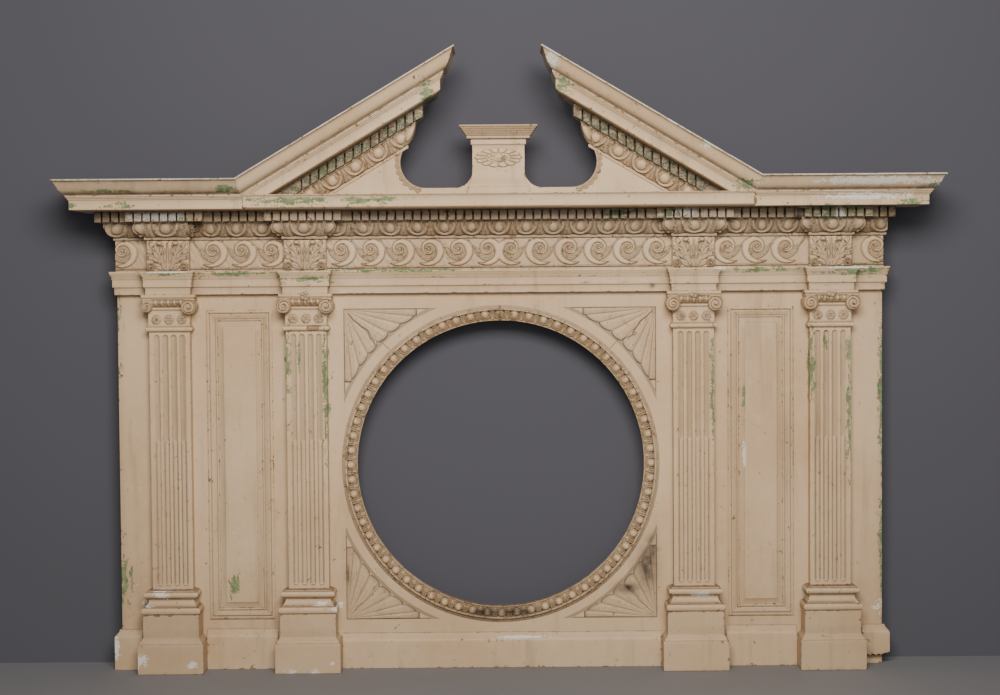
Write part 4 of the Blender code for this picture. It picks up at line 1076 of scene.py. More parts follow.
def level_egg_relief(rows, lost):
    def relief(plan, row, z, out):
        t = rows[row][2]
        x, depth = plan.at(out)
        if t < 0:
            lift = np.zeros_like(x)
            height = lift
        else:
            u, fade, wrap, wrap_off = egg_offset(x, depth, out)
            ends = min(1.0, t / 0.04, (1.0 - t) / 0.02)
            plain = egg_and_leaf(u, t)
            height = np.where(wrap, np.maximum(corner_leaf(wrap_off, t), plain * (np.abs(u) < 0.62)), plain)
            height = height * fade * ends
            lift = EGG_RELIEF * height * EGG_FORWARD
        # Painted shade between the eggs and leaves, dark where the corner is broken
        shade = np.clip(0.80 - height * 0.9, 0.12, 1.0) * (t >= 0) * (plan.rows[:, 3] > 0)
        if lost:
            lift = lift - lost(x, depth, z)
            shade = np.where(lost(x, depth, z) > 0.001, 0.7, shade)
        drop = EGG_RELIEF * height * EGG_DOWN
        return lift, drop, shade

    return relief


def lost_corner(x, depth, z):
    """Piece broken from the ovolo's corner over the first pilaster"""
    corner_x = PILASTERS[0] + BLOCK_HALF
    inside = (x > corner_x + 0.006) & (x < corner_x + 0.038) & (depth > FORWARD - 0.012)
    inside &= z > Z_BED + 0.020
    ragged = 0.010 + 0.004 * np.sin(x * 700.0) + 0.003 * np.sin(z * 900.0)
    return np.where(inside, ragged * unit((depth - FORWARD + 0.02) / 0.01), 0.0)


def egg_course():
    rows = [(Z_BED + height, out, t) for height, out, t in bed_profile()]
    plan = Plan(break_corners(EGG_STUB), 0.0024)
    # dark paints shade over the whole course, which lies under the corona
    stack("egg_and_leaf_course", plan, [row[:2] for row in rows], ["egg_course"],
          relief=level_egg_relief(rows, lost_corner), nicks=0.0010, dark=0.36)


def slit_centres(number, x0, x1):
    count = int((x1 - x0 - 0.012) / DENTIL_PITCH)
    if number == 0:
        return [x1 - DENTIL_PITCH * (i + 1) for i in (2, 1, 0)]
    if number == 8:
        return [x0 + DENTIL_PITCH * (i + 1) for i in range(count)]
    return [(x0 + x1) / 2 + (i - (count - 1) / 2) * DENTIL_PITCH for i in range(count)]


def dentil_teeth(number, start, end, plane):
    """Saw cuts of one front run; the seventh run has lost its first dentil"""
    x0, x1 = start[0] + start[1] * DENTIL_OUT, end[0] + end[1] * DENTIL_OUT
    slits = [(x - DENTIL_SLIT / 2, x + DENTIL_SLIT / 2) for x in slit_centres(number, x0, x1)]
    if number == 7:
        slits[0] = (x0 + 0.001, slits[0][1])
    floor = plane - SLIT_DEPTH
    corners = []
    for a, b in slits:
        corners += [(a, 0, plane, 1), (a, 0, floor, 1), (b, 0, floor, 1), (b, 0, plane, 1)]
    return corners


def dentil_course():
    plan = Plan(break_corners(DENTIL_STUB, dentil_teeth), 0.006, 0.0005)
    z0, z1 = Z_DENTIL, Z_CORONA - GAP
    strip = z1 - DENTIL_STRIP
    rings = []
    for z, out in ((z0, DENTIL_OUT - 0.0006), (z0 + 0.0007, DENTIL_OUT), (z0 + 0.008, DENTIL_OUT),
                   (z0 + 0.016, DENTIL_OUT), (strip, DENTIL_OUT)):
        x, depth = plan.at(out)
        rings.append(place(x, depth, z))
    x, depth = plan.at(DENTIL_OUT)
    base, front = plan.rows[:, 2], plan.rows[:, 3] > 0
    level = np.maximum(depth, np.where(base < RECESS - 0.001, depth + SLIT_DEPTH * front, depth))
    cut = (np.abs(base - (FORWARD - SLIT_DEPTH)) < 1e-4) & front
    level = np.where(cut, depth + SLIT_DEPTH, level)
    for z in (strip, z1):
        rings.append(place(x, level, z))
    # Painted shade: black in the slits and on the sunk runs, dark on the faces and darker on the strip under
    # the corona
    sunk = front & ((base < RECESS - 0.004) | (np.abs(base - FORWARD + SLIT_DEPTH) < 0.002))
    dark = np.concatenate((np.tile(np.where(sunk, 1.0, 0.44), 5), np.full(2 * len(sunk), 0.60)))
    tube("dentils", rings, ["dentil_course"], nicks=0.0012, dark=dark, dirt=np.full(len(dark), 0.40), bleed=0)


# How dark the undersides of the coronas are painted: painted shade
SOFFIT_SHADE = 0.62


def fillet_steps():
    """Corners of the fillets over a corona's face: how far out, and how far below the sima"""
    corners = []
    for k in range(FILLETS):
        foot = FILLET_H * (FILLETS - k)
        corners += [(CORONA_OUT + FILLETS_OUT * k / FILLETS, foot + 0.0002),
                    (CORONA_OUT + FILLETS_OUT * (k + 1) / FILLETS, foot - 0.0002)]
    return corners


def corona():
    for node, drip in (("corona_left", 0.0025), ("corona_centre", 0.0055), ("corona_right", 0.0005)):
        start, end = low(node), high(node)
        top = Z_SIMA - GAP
        rows = [(Z_CORONA, CORONA_OUT - 0.012), (Z_CORONA + drip, CORONA_OUT - 0.0005),
                (Z_CORONA + drip + 0.001, CORONA_OUT)]
        if node == "corona_centre":
            rows += [(top - 0.0050, CORONA_OUT), (top - 0.0047, CORONA_OUT + 0.002),
                     (top - 0.0026, CORONA_OUT + 0.002), (top - 0.0023, CORONA_OUT + CORONA_FILLET),
                     (top, CORONA_OUT + CORONA_FILLET)]
        else:
            rows += [(Z_SIMA - drop, out) for out, drop in fillet_steps()] + [(top, CORONA_OUT + FILLETS_OUT)]
        rows = refine(soften(rows, 0.0004), 0.006)
        if node == "corona_centre":
            depth = FORWARD + 0.003
            corners = [(start.x, 0, BACK, 0), (start.x, 0, depth, 1), (end.x, 0, depth, 1),
                       (end.x, 0, BACK, 0)]
        else:
            side = -1 if node.endswith("left") else 1
            inner = end.x if side < 0 else start.x
            corners = [(inner, 0, BACK, 0), (inner, 0, FORWARD, 1), (side * BOARD_HALF, side, FORWARD, 1),
                       (side * BOARD_HALF, side, BACK, 0.0)]
        plan = Plan(corners, 0.006)
        dark = np.repeat(np.where(rows[:, 0] < Z_CORONA + 0.0004, SOFFIT_SHADE, 0.0), len(plan.rows))
        stack("cornice_" + node, plan, rows, [node], nicks=0.0022, dark=dark)


def sima_profile():
    """Section of the sima: (out, distance below its top), closed at the back"""
    points = [(SIMA_OUT - 0.0015, 0.0), (SIMA_OUT, 0.0012), (SIMA_OUT, 0.0042), (SIMA_OUT - 0.0040, 0.0050)]
    inner, outer = CORONA_OUT + FILLETS_OUT + 0.0005, SIMA_OUT - 0.0045
    for t in steps(18)[1:]:
        s = 0.22 * (1.0 - (1.0 - t) ** 3) + 0.20 * t + 0.58 * t ** 4
        points.append((outer + (inner - outer) * s, 0.0050 + (SIMA_H - 0.0072) * t))
    points += [(inner, SIMA_H - GAP), (CORONA_OUT - 0.020, SIMA_H - GAP), (CORONA_OUT - 0.020, 0.0)]
    return np.array(points)


def rake_top(x):
    return Z_TOP + TAN * (RAKE_FOOT - x)


def on_rake(side, x, out, below):
    """Point of a raking course at x, for a line that stands out and lies below the top"""
    return place(side * x, FORWARD + out, rake_top(x) - below / COS)


def rake_foot(side, out, below, level):
    """Where a line of a raking course is cut off level"""
    x = RAKE_FOOT + (Z_TOP - below / COS - level) / TAN
    return place(side * x, FORWARD + out, level + 0 * x)


def rake_corner(side, out, below):
    return on_rake(side, RAKE_END - out, out, below)


def to_wall(ring, depth):
    """The same ring, flat at a depth"""
    ring = ring.copy()
    ring[:, 1] = FACE_Y - depth
    return ring


def between(rings, step):
    """Adds rings so that no two are further apart than step"""
    filled = [rings[0]]
    for a, b in zip(rings, rings[1:]):
        count = max(1, int(math.ceil(np.abs(b - a).max() / step)))
        filled += [a + (b - a) * share for share in steps(count)[1:]]
    return np.array(filled)


def mitre(side, extra):
    """Where the level and the raking crown moulding meet"""
    out, below = sima_profile().T
    x = RAKE_FOOT + extra - below * math.tan(RAKE / 2)
    return place(side * x, FORWARD + out, Z_TOP - below)


def simas():
    for name, side in SIDES:
        out, below = sima_profile().T
        corner = place(side * (BOARD_HALF + out), FORWARD + out, Z_TOP - below)
        wall = to_wall(corner, BACK)
        rings = between([mitre(side, GAP), corner, wall], 0.008)
        # Painted shade: under darkens the foot of the cyma and a line under the top fillet, the raking crowns
        # take it too, and worn adds it to a darker tone; edge is a pale line on the top edge, partly white
        # priming and partly painted highlight
        edge = np.where(below < 0.0025, 0.60, 0.0)
        under = 0.42 * unit((below - 0.030) / 0.007) * (below < SIMA_H - 0.0015)
        under = under + 0.30 * hill((below - 0.0058) / 0.0016)
        worn = under + (0.36 if side < 0 else 0.22)
        tube("crown_moulding_" + name, rings, ["sima_" + name], nicks=0.0016, pale=np.tile(edge, len(rings)),
             dark=np.tile(worn, len(rings)))
        raked = rake_corner(side, out, below)
        rings = between([mitre(side, 0.0), raked, to_wall(raked, FORWARD - TYMPANUM_T)], 0.008)
        tube("raking_crown_" + name, rings, ["raking_sima_" + name], nicks=0.0016,
             pale=np.tile(edge, len(rings)), dark=np.tile(under + 0.06, len(rings)))


def raking_coronas():
    """Board along the slope: its face and three fillets, solid back to the tympanum's rear"""
    soffit = SIMA_H + CORONA_H
    front = [(CORONA_OUT - 0.012, soffit), (CORONA_OUT, soffit - 0.0040)]
    front += [(out, SIMA_H + drop) for out, drop in fillet_steps()]
    front = soften(front + [(CORONA_OUT + FILLETS_OUT, SIMA_H + GAP)], 0.0004)
    front = refine(front, 0.006)
    rear = FORWARD - TYMPANUM_T
    for name, side in SIDES:
        out, below = front.T
        back_below = np.array([SIMA_H + GAP, soffit])
        foot = np.concatenate((rake_foot(side, out, below, Z_SIMA),
                               to_wall(rake_foot(side, np.zeros(2), back_below, Z_SIMA), rear)))
        turn = np.concatenate((rake_corner(side, out, below),
                               to_wall(on_rake(side, RAKE_END - CORONA_OUT + np.array([-FILLETS_OUT, 0.012]),
                                               np.zeros(2), back_below), rear)))
        rings = between([foot, turn], 0.007)
        dark = np.concatenate((np.where(below > soffit - 0.0002, SOFFIT_SHADE, 0.0), [0.0, SOFFIT_SHADE]))
        tube("raking_cornice_" + name, rings, ["raking_corona_" + name], nicks=0.0022,
             dark=np.tile(dark, len(rings)))


def raking_eggs():
    top = SIMA_H + CORONA_H + DENTIL_H
    rows = bed_profile()
    out = np.array([row[1] for row in rows] + [GAP, GAP])
    below = np.array([top + BED_H - row[0] for row in rows] + [top + GAP, top + BED_H])
    below[len(rows) - 1] = top + GAP
    t = np.array([row[2] for row in rows] + [-1.0, -1.0])
    for name, side in SIDES:
        foot = rake_foot(side, out, below, Z_SIMA)
        turn = rake_corner(side, out, below)
        wall = to_wall(turn, FORWARD - TYMPANUM_T)
        rings = between([foot, turn], 0.0016)
        x = np.abs(rings[..., 0])
        u = (x / COS + below * TAN - RAKE_EGG_X / COS - (top + 0.022) * TAN) / RAKE_EGG_PITCH
        u = np.where(u < -0.5, 0.5, u - np.round(u))
        height = egg_and_leaf(u, np.broadcast_to(t, u.shape), 0.205) * (t >= 0)
        off = np.abs(x - (RAKE_END - out))
        height = np.where(off < 0.026, corner_leaf(off, np.broadcast_to(t, u.shape)) * (t >= 0), height)
        ends = unit(np.minimum(t / 0.04, (1.0 - t) / 0.02))
        fade = unit((x - (RAKE_END - out)) / 0.004)
        height = height * ends * fade
        rings[..., 1] -= EGG_RELIEF * EGG_FORWARD * height
        rings[..., 2] -= EGG_RELIEF * EGG_DOWN * height * COS
        rings[..., 0] -= side * EGG_RELIEF * EGG_DOWN * height * SIN
        rings = np.concatenate((rings, between([rings[-1], wall], 0.004)[1:]))
        # Dirt and painted shade where the eggs' relief is low
        dirt = unit(0.55 - height * 1.3) * (t >= 0)
        dirt = np.concatenate((dirt, np.zeros((len(rings) - len(dirt), dirt.shape[1]))))
        tube("raking_eggs_" + name, rings, ["raking_ovolo_" + name], dirt=dirt.ravel(), nicks=0.0010)


def raking_dentils():
    upper = SIMA_H + CORONA_H + GAP
    lower = SIMA_H + CORONA_H + DENTIL_H
    strip = upper + DENTIL_STRIP
    face, floor = DENTIL_OUT, DENTIL_OUT - SLIT_DEPTH

    def section(out):
        outs = np.array([GAP, out, out, out, DENTIL_OUT, DENTIL_OUT, GAP])
        belows = np.array([lower, lower, lower - 0.0006, strip, strip, upper, upper])
        return outs, belows

    for name, side in SIDES:
        rings = [rake_foot(side, *section(face), Z_SIMA)]
        # Painted shade: the faces under the corona dark, the floors of the slits black
        dark = [0.62]
        first = RAKE_FOOT + (Z_TOP - upper / COS - Z_SIMA) / TAN
        last = RAKE_END - face
        for k in range(int((first - last - 0.075) / DENTIL_PITCH), 0, -1):
            x = last + k * DENTIL_PITCH
            if rake_top(x) - lower / COS < Z_SIMA + 0.012:
                continue
            half = DENTIL_SLIT / 2
            for edge, out in ((half + 0.0006, face), (half, face - 0.0006), (half, floor), (-half, floor),
                              (-half, face - 0.0006), (-half - 0.0006, face)):
                outs, belows = section(out)
                rings.append(on_rake(side, x + edge, outs, belows))
                dark.append(1.0 if out == floor else 0.62)
        turn = rake_corner(side, *section(face))
        rings += [turn, to_wall(turn, FORWARD - TYMPANUM_T)]
        dark = np.repeat(dark + [0.0, 0.0], len(turn))
        tube("raking_dentil_blocks_" + name, rings, ["raking_dentils_" + name], nicks=0.0, green=0.44,
             dark=dark, dirt=np.full(len(dark), 0.35), bleed=0)


BAY_R = 0.0705
BAY_INSET = 0.0525
BAY_FOOT_R = 0.0505
BAY_STRIP = 0.019
FINIAL_HALF = 0.0718


def tympanum_outline(fine):
    """Half outline of the tympanum from its outer tip to the top of its tongue"""
    soffit = SIMA_H + CORONA_H + GAP
    strip = Z_SIMA + BAY_STRIP
    cx = RAKE_END - BAY_INSET
    foot_x = FINIAL_HALF - 0.001 + BAY_FOOT_R
    rise = math.acos((RAKE_END - cx) / BAY_R)
    tip = RAKE_FOOT + (Z_TOP - soffit / COS - Z_SIMA) / TAN
    angles = rise - (rise + math.pi / 2) * steps(fine)
    bay = np.stack((cx + BAY_R * np.cos(angles), strip + BAY_R * (1 + np.sin(angles))), -1)
    angles = -math.pi / 2 * (1 + steps(fine // 2))
    foot = np.stack((foot_x + BAY_FOOT_R * np.cos(angles), strip + BAY_FOOT_R * (1 + np.sin(angles))), -1)
    start = np.array([(tip, Z_SIMA), (RAKE_END, rake_top(RAKE_END) - soffit / COS)])
    end = np.array([(foot_x - BAY_FOOT_R, low("finial_cap").z - GAP)])
    return np.concatenate((start, bay, foot, end)), bay, foot


BORDER_W = 0.0165
BORDER_H = 0.0060


def leaf_border(line, side, inner):
    """Band of small lobed leaves along a curved edge of the tympanum"""
    line = refine(line, 0.0015)
    way = np.gradient(line, axis=0)
    way /= np.linalg.norm(way, axis=1)[:, None]
    normal = np.stack((-way[:, 1], way[:, 0]), -1) * inner
    along = np.concatenate(([0.0], np.cumsum(np.linalg.norm(np.diff(line, axis=0), axis=1))))
    lobe = np.abs(np.sin(along / 0.0165 * math.pi))
    shares = steps(14)
    rings = []
    for k in range(len(line)):
        width = BORDER_W * (0.66 + 0.34 * lobe[k])
        at = line[k][None] + normal[k][None] * (width * shares)[:, None]
        vein = 0.75 + 0.25 * np.cos(shares * 5 * math.pi)
        dome = np.sin(math.pi * np.clip(shares, 0.08, 0.92)) ** 0.5
        lift = BORDER_H * (0.35 + 0.65 * lobe[k] ** 0.5) * dome * vein
        top = place(side * at[:, 0], FORWARD + lift, at[:, 1])
        low_points = place(side * at[[-1, 0], 0], FORWARD - 0.002, at[[-1, 0], 1])
        rings.append(np.concatenate((top, low_points)))
    return tube_arrays(rings)


def tympanum():
    half, bay, foot = tympanum_outline(28)
    outline = np.concatenate((half, half[::-1] * (-1, 1)))
    outline = refine(outline, 0.008, closed=True)
    before, after = np.roll(outline, 1, axis=0), np.roll(outline, -1, axis=0)
    way = after - before
    way /= np.maximum(np.linalg.norm(way, axis=1), 1e-9)[:, None]
    inward = np.stack((-way[:, 1], way[:, 0]), -1)
    area = (before[:, 0] * outline[:, 1] - outline[:, 0] * before[:, 1]).sum()
    inward *= math.copysign(1.0, area)
    rings = []
    for depth, inset in ((FORWARD - TYMPANUM_T, 0.0), (FORWARD - 0.0006, 0.0), (FORWARD, 0.0006),
                         (FORWARD, 0.0022)):
        at = outline + inward * inset
        rings.append(place(at[:, 0], depth, at[:, 1]))
    parts = [tube_arrays(rings)]
    for side in (-1, 1):
        parts.append(leaf_border(bay[3:27], side, 1.0))
    finish_mesh("tympanum_with_leaf_borders", *join_arrays(parts), ["tympanum"], nicks=0.0008)


def finial():
    start, end = low("finial_block"), high("finial_block")
    face = FACE_Y - start.y - 0.0125
    plan = pier_plan(0.0, FINIAL_HALF, face, back=FORWARD + GAP)
    z0, z1 = start.z, end.z
    rows = [(z0, 0.0125), (z0 + 0.0190, 0.0125), (z0 + 0.0200, 0.0110)]
    rows += ogee(z0 + 0.0205, 0.0105, z0 + 0.0480, 0.0012)
    rows += [(z0 + 0.068, 0.0), (z1 - 0.0158, 0.0), (z1 - 0.0150, 0.0040), (z1, 0.0040)]
    stack("centre_block", plan, refine(soften(rows, 0.0008), 0.006), ["finial_block"], nicks=0.0012)
    start, end = low("finial_cap"), high("finial_cap")
    z0, z1 = start.z, end.z
    plan = pier_plan(0.0, FINIAL_HALF, face, back=FACE_Y - end.y)
    rows = [(z0, 0.0095), (z0 + 0.0006, 0.0150), (z0 + 0.0072, 0.0155), (z0 + 0.0076, 0.0135)]
    rise = (z1 - 0.0050 - z0 - 0.0080) / 4
    for k in range(4):
        foot, out = z0 + 0.0080 + k * rise, 0.0160 + 0.0042 * k
        rows += [(foot, out), (foot + rise * 0.80, out + 0.0042), (foot + rise * 0.90, out + 0.0024)]
    rows += [(z1 - 0.0048, 0.0345), (z1 - 0.0005, 0.0355), (z1, 0.0345)]
    stack("centre_cap", plan, refine(soften(rows, 0.0008), 0.006), ["finial_cap"], nicks=0.0014, dark=0.28)


def oval_flower():
    """Oval flower: a ring of petals round a smaller ring and a button"""
    start, end = low("oval_flower"), high("oval_flower")
    cx, cz = (start.x + end.x) / 2, (start.z + end.z) / 2
    half_w, half_h = (end.x - start.x) / 2, (end.z - start.z) / 2
    petals = 14
    angles = np.linspace(0.0, 2 * math.pi, 225)[:-1]
    shares = np.concatenate(([1.0], steps(20)[::-1]))
    base = FACE_Y - end.y
    rings = []
    dirt = []
    for angle in angles:
        wave = abs(math.cos(angle * petals / 2))
        reach = 0.88 + 0.12 * wave ** 0.5
        petal = unit((shares - 0.46) / 0.06) * (0.40 + 0.60 * wave ** 0.6)
        petal = petal * (1 - 0.25 * (shares - 0.5))
        inner = unit(1.0 - np.abs(shares - 0.34) / 0.10) ** 0.5
        inner = inner * (0.55 + 0.45 * abs(math.cos(angle * 5)))
        button = np.sqrt(unit(1.0 - (shares / 0.20) ** 2))
        lift = 0.0015 + 0.0052 * np.maximum(np.maximum(petal, inner), button)
        # Dirt and painted shade where the petals are low
        dirt.append(unit(0.8 - lift / 0.0045))
        depth = base + lift
        depth[0] = base
        depth[1] = base + 0.0008
        rings.append(place(cx + half_w * reach * shares * math.cos(angle), depth,
                           cz + half_h * reach * shares * math.sin(angle)))
    tube("oval_patera", rings, ["oval_flower"], loop=True, dirt=np.concatenate(dirt), nicks=0.0003)


# Ring and shells

RING_EGGS = 64
RING_EGG_H = 0.0066
SHELL_ARC = OPEN_R + RING_W + 0.0295


def ring_egg(a, t):
    """Relief of one egg of the ring: a is the distance from its middle in pitches, and t goes outwards"""
    egg = unit(1.0 - (a / 0.268) ** 2 - ((t - 0.57) / 0.45) ** 2) ** 0.4
    outline = np.sqrt((a / 0.378) ** 2 + (np.minimum(t - 0.64, 0.0) / 0.60) ** 2)
    husk = 0.95 * hill((outline - 1.0) / 0.10)
    dart = 0.75 * unit(1.0 - ((0.5 - a) / (0.030 + 0.100 * (1.0 - t))) ** 2) ** 0.5
    hole = unit(1.0 - ((a - 0.295) / 0.050) ** 2 - ((t - 0.92) / 0.17) ** 2) * (egg <= 0)
    return np.maximum(np.maximum(egg * 1.30, husk), dart) - 0.20 - 0.8 * hole


def ring():
    """Egg-and-dart ring: a bead at the opening, eggs, and a broad fillet with two fine lines"""
    inner, outer = OPEN_R, OPEN_R + RING_W
    rows = [(inner, GAP, -1), (inner, 0.0052, -1), (inner + 0.0006, 0.0072, -1), (inner + 0.0018, 0.0078, -1),
            (inner + 0.0028, 0.0070, -1), (inner + 0.0032, 0.0050, -1)]
    for t in steps(24):
        rows.append((inner + 0.0036 + 0.0252 * t, 0.0050 + 0.0062 * math.sin(math.pi / 2 * t), t))
    rows += [(outer - 0.0139, 0.0155, -1), (outer - 0.0133, 0.0168, -1), (outer - 0.0095, 0.0168, -1),
             (outer - 0.0088, 0.0160, -1), (outer - 0.0086, 0.0105, -1), (outer - 0.0050, 0.0100, -1),
             (outer - 0.0045, 0.0070, -1), (outer - 0.0008, 0.0062, -1), (outer, 0.0050, -1),
             (outer, GAP, -1)]
    radius, depth, t = np.array(rows).T
    per_egg = 14
    angles = np.linspace(0.0, 2 * math.pi, RING_EGGS * per_egg + 1)[:-1]
    u = (np.arange(len(angles)) / per_egg + 0.5) % 1.0 - 0.5
    height = ring_egg(np.abs(u)[:, None], t[None])
    ends = unit(np.minimum(t / 0.05, (1.0 - t) / 0.05))
    height = height * (t >= 0) * ends
    around = angles[:, None]
    full = depth[None] + RING_EGG_H * height
    joint = hill((angles - math.pi / 2) / 0.0016)
    joint = joint + hill((angles - 3 * math.pi / 2 - 0.004) / 0.0016)
    full = np.maximum(full - 0.005 * joint[:, None] * (full > 0.002), GAP)
    rings = place(radius[None] * np.cos(around), full, OPEN_Z + radius[None] * np.sin(around))
    # Dirt and painted shade where the relief is low, with the two dark joints; dark paints shade in the holes
    # between the eggs' tops
    dirt = unit(0.60 - height * 1.5) * (t >= 0) + joint[:, None]
    dark = unit(-0.45 - height * 1.5) * (t >= 0)
    tube("egg_and_dart_ring", rings, ["ring"], loop=True, dirt=dirt.ravel(), dark=dark.ravel(), nicks=0.0008)


SHELL_LOBES = 8
SPANDRELS = (("top_left", -1, 1), ("top_right", 1, 1), ("bottom_left", -1, -1), ("bottom_right", 1, -1))


def shells():
    """Fans that fill the corners of the square, with a scalloped edge a little short of the arc"""
    band = SHELL_ARC
    corner = SQUARE_HALF - 0.004
    start = math.acos(corner / band) + 0.004
    turn = np.linspace(start, math.pi / 2 - start, SHELL_LOBES * 22 + 1)
    lobe = (np.linspace(0.0, SHELL_LOBES, len(turn)) + 1e-9) % 1.0
    crown = np.sin(math.pi * lobe) ** 0.6
    dx, dz = corner - band * np.cos(turn), corner - band * np.sin(turn)
    reach = np.hypot(dx, dz)
    dx, dz = dx / reach, dz / reach
    room = corner - low("spandrel_shell_top_right").x
    reach = np.minimum(reach - 0.0115 + 0.0090 * crown, room / np.maximum(dx, dz))
    shares = np.concatenate((steps(36)[:-1], [0.988, 0.994, 1.0]))
    r = reach[:, None] * shares[None]
    wide = unit(shares * 1.7)[None]
    fine = hill((((lobe * 3.0) % 1.0) - 0.5) / 0.10)[:, None]
    joint = hill(np.minimum(lobe, 1.0 - lobe) / 0.045)[:, None]
    height = 0.0036 + 0.0020 * crown[:, None] * wide - 0.0006 * joint * wide - 0.0003 * fine * wide
    rows = np.abs((r / 0.0172) % 1.0 - 0.5) < 0.03
    height = height - 0.0003 * rows * (shares[None] < 0.97)
    height[:, -2:] *= (0.85, 0.3)
    for name, sx, sz in SPANDRELS:
        node = "spandrel_shell_" + name
        angle = np.arctan2(dz, dx)[:, None]
        path = math.radians(46) + 0.05 * np.sin(r * 70.0 + sx) + 0.02 * np.sin(r * 190.0 + sz)
        crack = hill((angle - path) * np.maximum(r, 0.01) / 0.0009) * (r > 0.015)
        crack = crack * (1.0 if sz > 0 else 0.4)
        lift = np.maximum(height - 0.0030 * crack, 0.0006)
        front = place(sx * (corner - r * dx[:, None]), lift, OPEN_Z + sz * (corner - r * dz[:, None]))
        far = reach[:, None] * np.array([[1.0, 0.0]])
        back = place(sx * (corner - far * dx[:, None]), GAP, OPEN_Z + sz * (corner - far * dz[:, None]))
        veins = np.abs(np.sin(dx[:, None] * r * 95.0 + 2.6 * np.sin(dz[:, None] * r * 60.0 + sx + 2 * sz)))
        veins = (veins < 0.035) * (np.sin(r * 83.0 + sx * 2.0 + angle * 9.0) > 0.35)
        # Painted shade in the lobes' joints and lines and a painted shadow under the scalloped edge; the
        # crack and veins are dark marks
        shade = joint * wide * 0.38 * unit(r / 0.20) + 0.16 * fine * wide + crack * 1.6
        shade = shade + 0.25 * rows * (shares[None] < 0.97) + 0.75 * veins + 1.1 * (shares[None] > 0.985)
        lines = unit(crack) * 0.9 + 0.55 * veins + 0.45 * (shares[None] > 0.985)
        sheet("shell_" + name, front, back, node, shade, back_shade=1.0, lines=lines, nicks=0.0003)


# Materials

class Nodes:
    """Short names for the few shader nodes used here"""

    def __init__(self, name):
        self.material = bpy.data.materials.new(name)
        self.material.use_nodes = True
        self.tree = self.material.node_tree
        self.shader = self.tree.nodes["Principled BSDF"]
        self.coord = self.tree.nodes.new("ShaderNodeTexCoord").outputs["Object"]

    def link(self, source, socket):
        if isinstance(source, (int, float)):
            socket.default_value = source
        elif isinstance(source, tuple):
            socket.default_value = (*source, 1.0)
        else:
            self.tree.links.new(source, socket)

    def value(self, name):
        node = self.tree.nodes.new("ShaderNodeAttribute")
        node.attribute_name = name
        return node.outputs["Fac"]

    def noise(self, scale, detail=4.0, stretch=(1, 1, 1), offset=0.0, roughness=0.6):
        place_node = self.tree.nodes.new("ShaderNodeMapping")
        place_node.inputs["Scale"].default_value = stretch
        place_node.inputs["Location"].default_value = (offset, offset * 0.7, offset * 1.3)
        self.link(self.coord, place_node.inputs["Vector"])
        node = self.tree.nodes.new("ShaderNodeTexNoise")
        node.inputs["Scale"].default_value = scale
        node.inputs["Detail"].default_value = detail
        node.inputs["Roughness"].default_value = roughness
        self.link(place_node.outputs["Vector"], node.inputs["Vector"])
        return node.outputs["Fac"]

    def math(self, operation, a, b=0.0, clamp=False):
        node = self.tree.nodes.new("ShaderNodeMath")
        node.operation = operation
        node.use_clamp = clamp
        self.link(a, node.inputs[0])
        self.link(b, node.inputs[1])
        return node.outputs[0]

    def sum(self, *terms):
        """Weighted sum of (socket, weight) pairs and plain numbers"""
        total = 0.0
        for term in terms:
            if isinstance(term, tuple):
                term = self.math("MULTIPLY", term[0], term[1])
            total = self.math("ADD", term, total)
        return total

    def step(self, value, start, end):
        node = self.tree.nodes.new("ShaderNodeMapRange")
        node.interpolation_type = "SMOOTHSTEP"
        node.inputs["From Min"].default_value = start
        node.inputs["From Max"].default_value = end
        self.link(value, node.inputs["Value"])
        return node.outputs["Result"]

    def mix(self, share, a, b):
        node = self.tree.nodes.new("ShaderNodeMix")
        node.data_type = "RGBA"
        self.link(share, node.inputs["Factor"])
        self.link(a, node.inputs[6])
        self.link(b, node.inputs[7])
        return node.outputs[2]

    def bump(self, height, distance, strength=1.0):
        node = self.tree.nodes.new("ShaderNodeBump")
        node.inputs["Distance"].default_value = distance
        node.inputs["Strength"].default_value = strength
        self.link(height, node.inputs["Height"])
        return node.outputs["Normal"]


def wood_colour(n):
    """Old softwood with its grain along the boards"""
    grain = n.noise(14.0, 5.0, stretch=(0.6, 6.0, 9.0), offset=3.0)
    fine = n.noise(120.0, 3.0, stretch=(0.2, 4.0, 4.0), offset=7.0)
    share = n.sum((grain, 1.1), (fine, 0.4), -0.35)
    return n.mix(n.step(share, 0.25, 0.75), WOOD, WOOD_DARK)


def band_mask(n, value, middle, half):
    """One where a value is within half of middle"""
    far = n.math("ABSOLUTE", n.math("SUBTRACT", value, middle))
    return n.math("SUBTRACT", 1.0, n.step(far, half * 0.5, half))


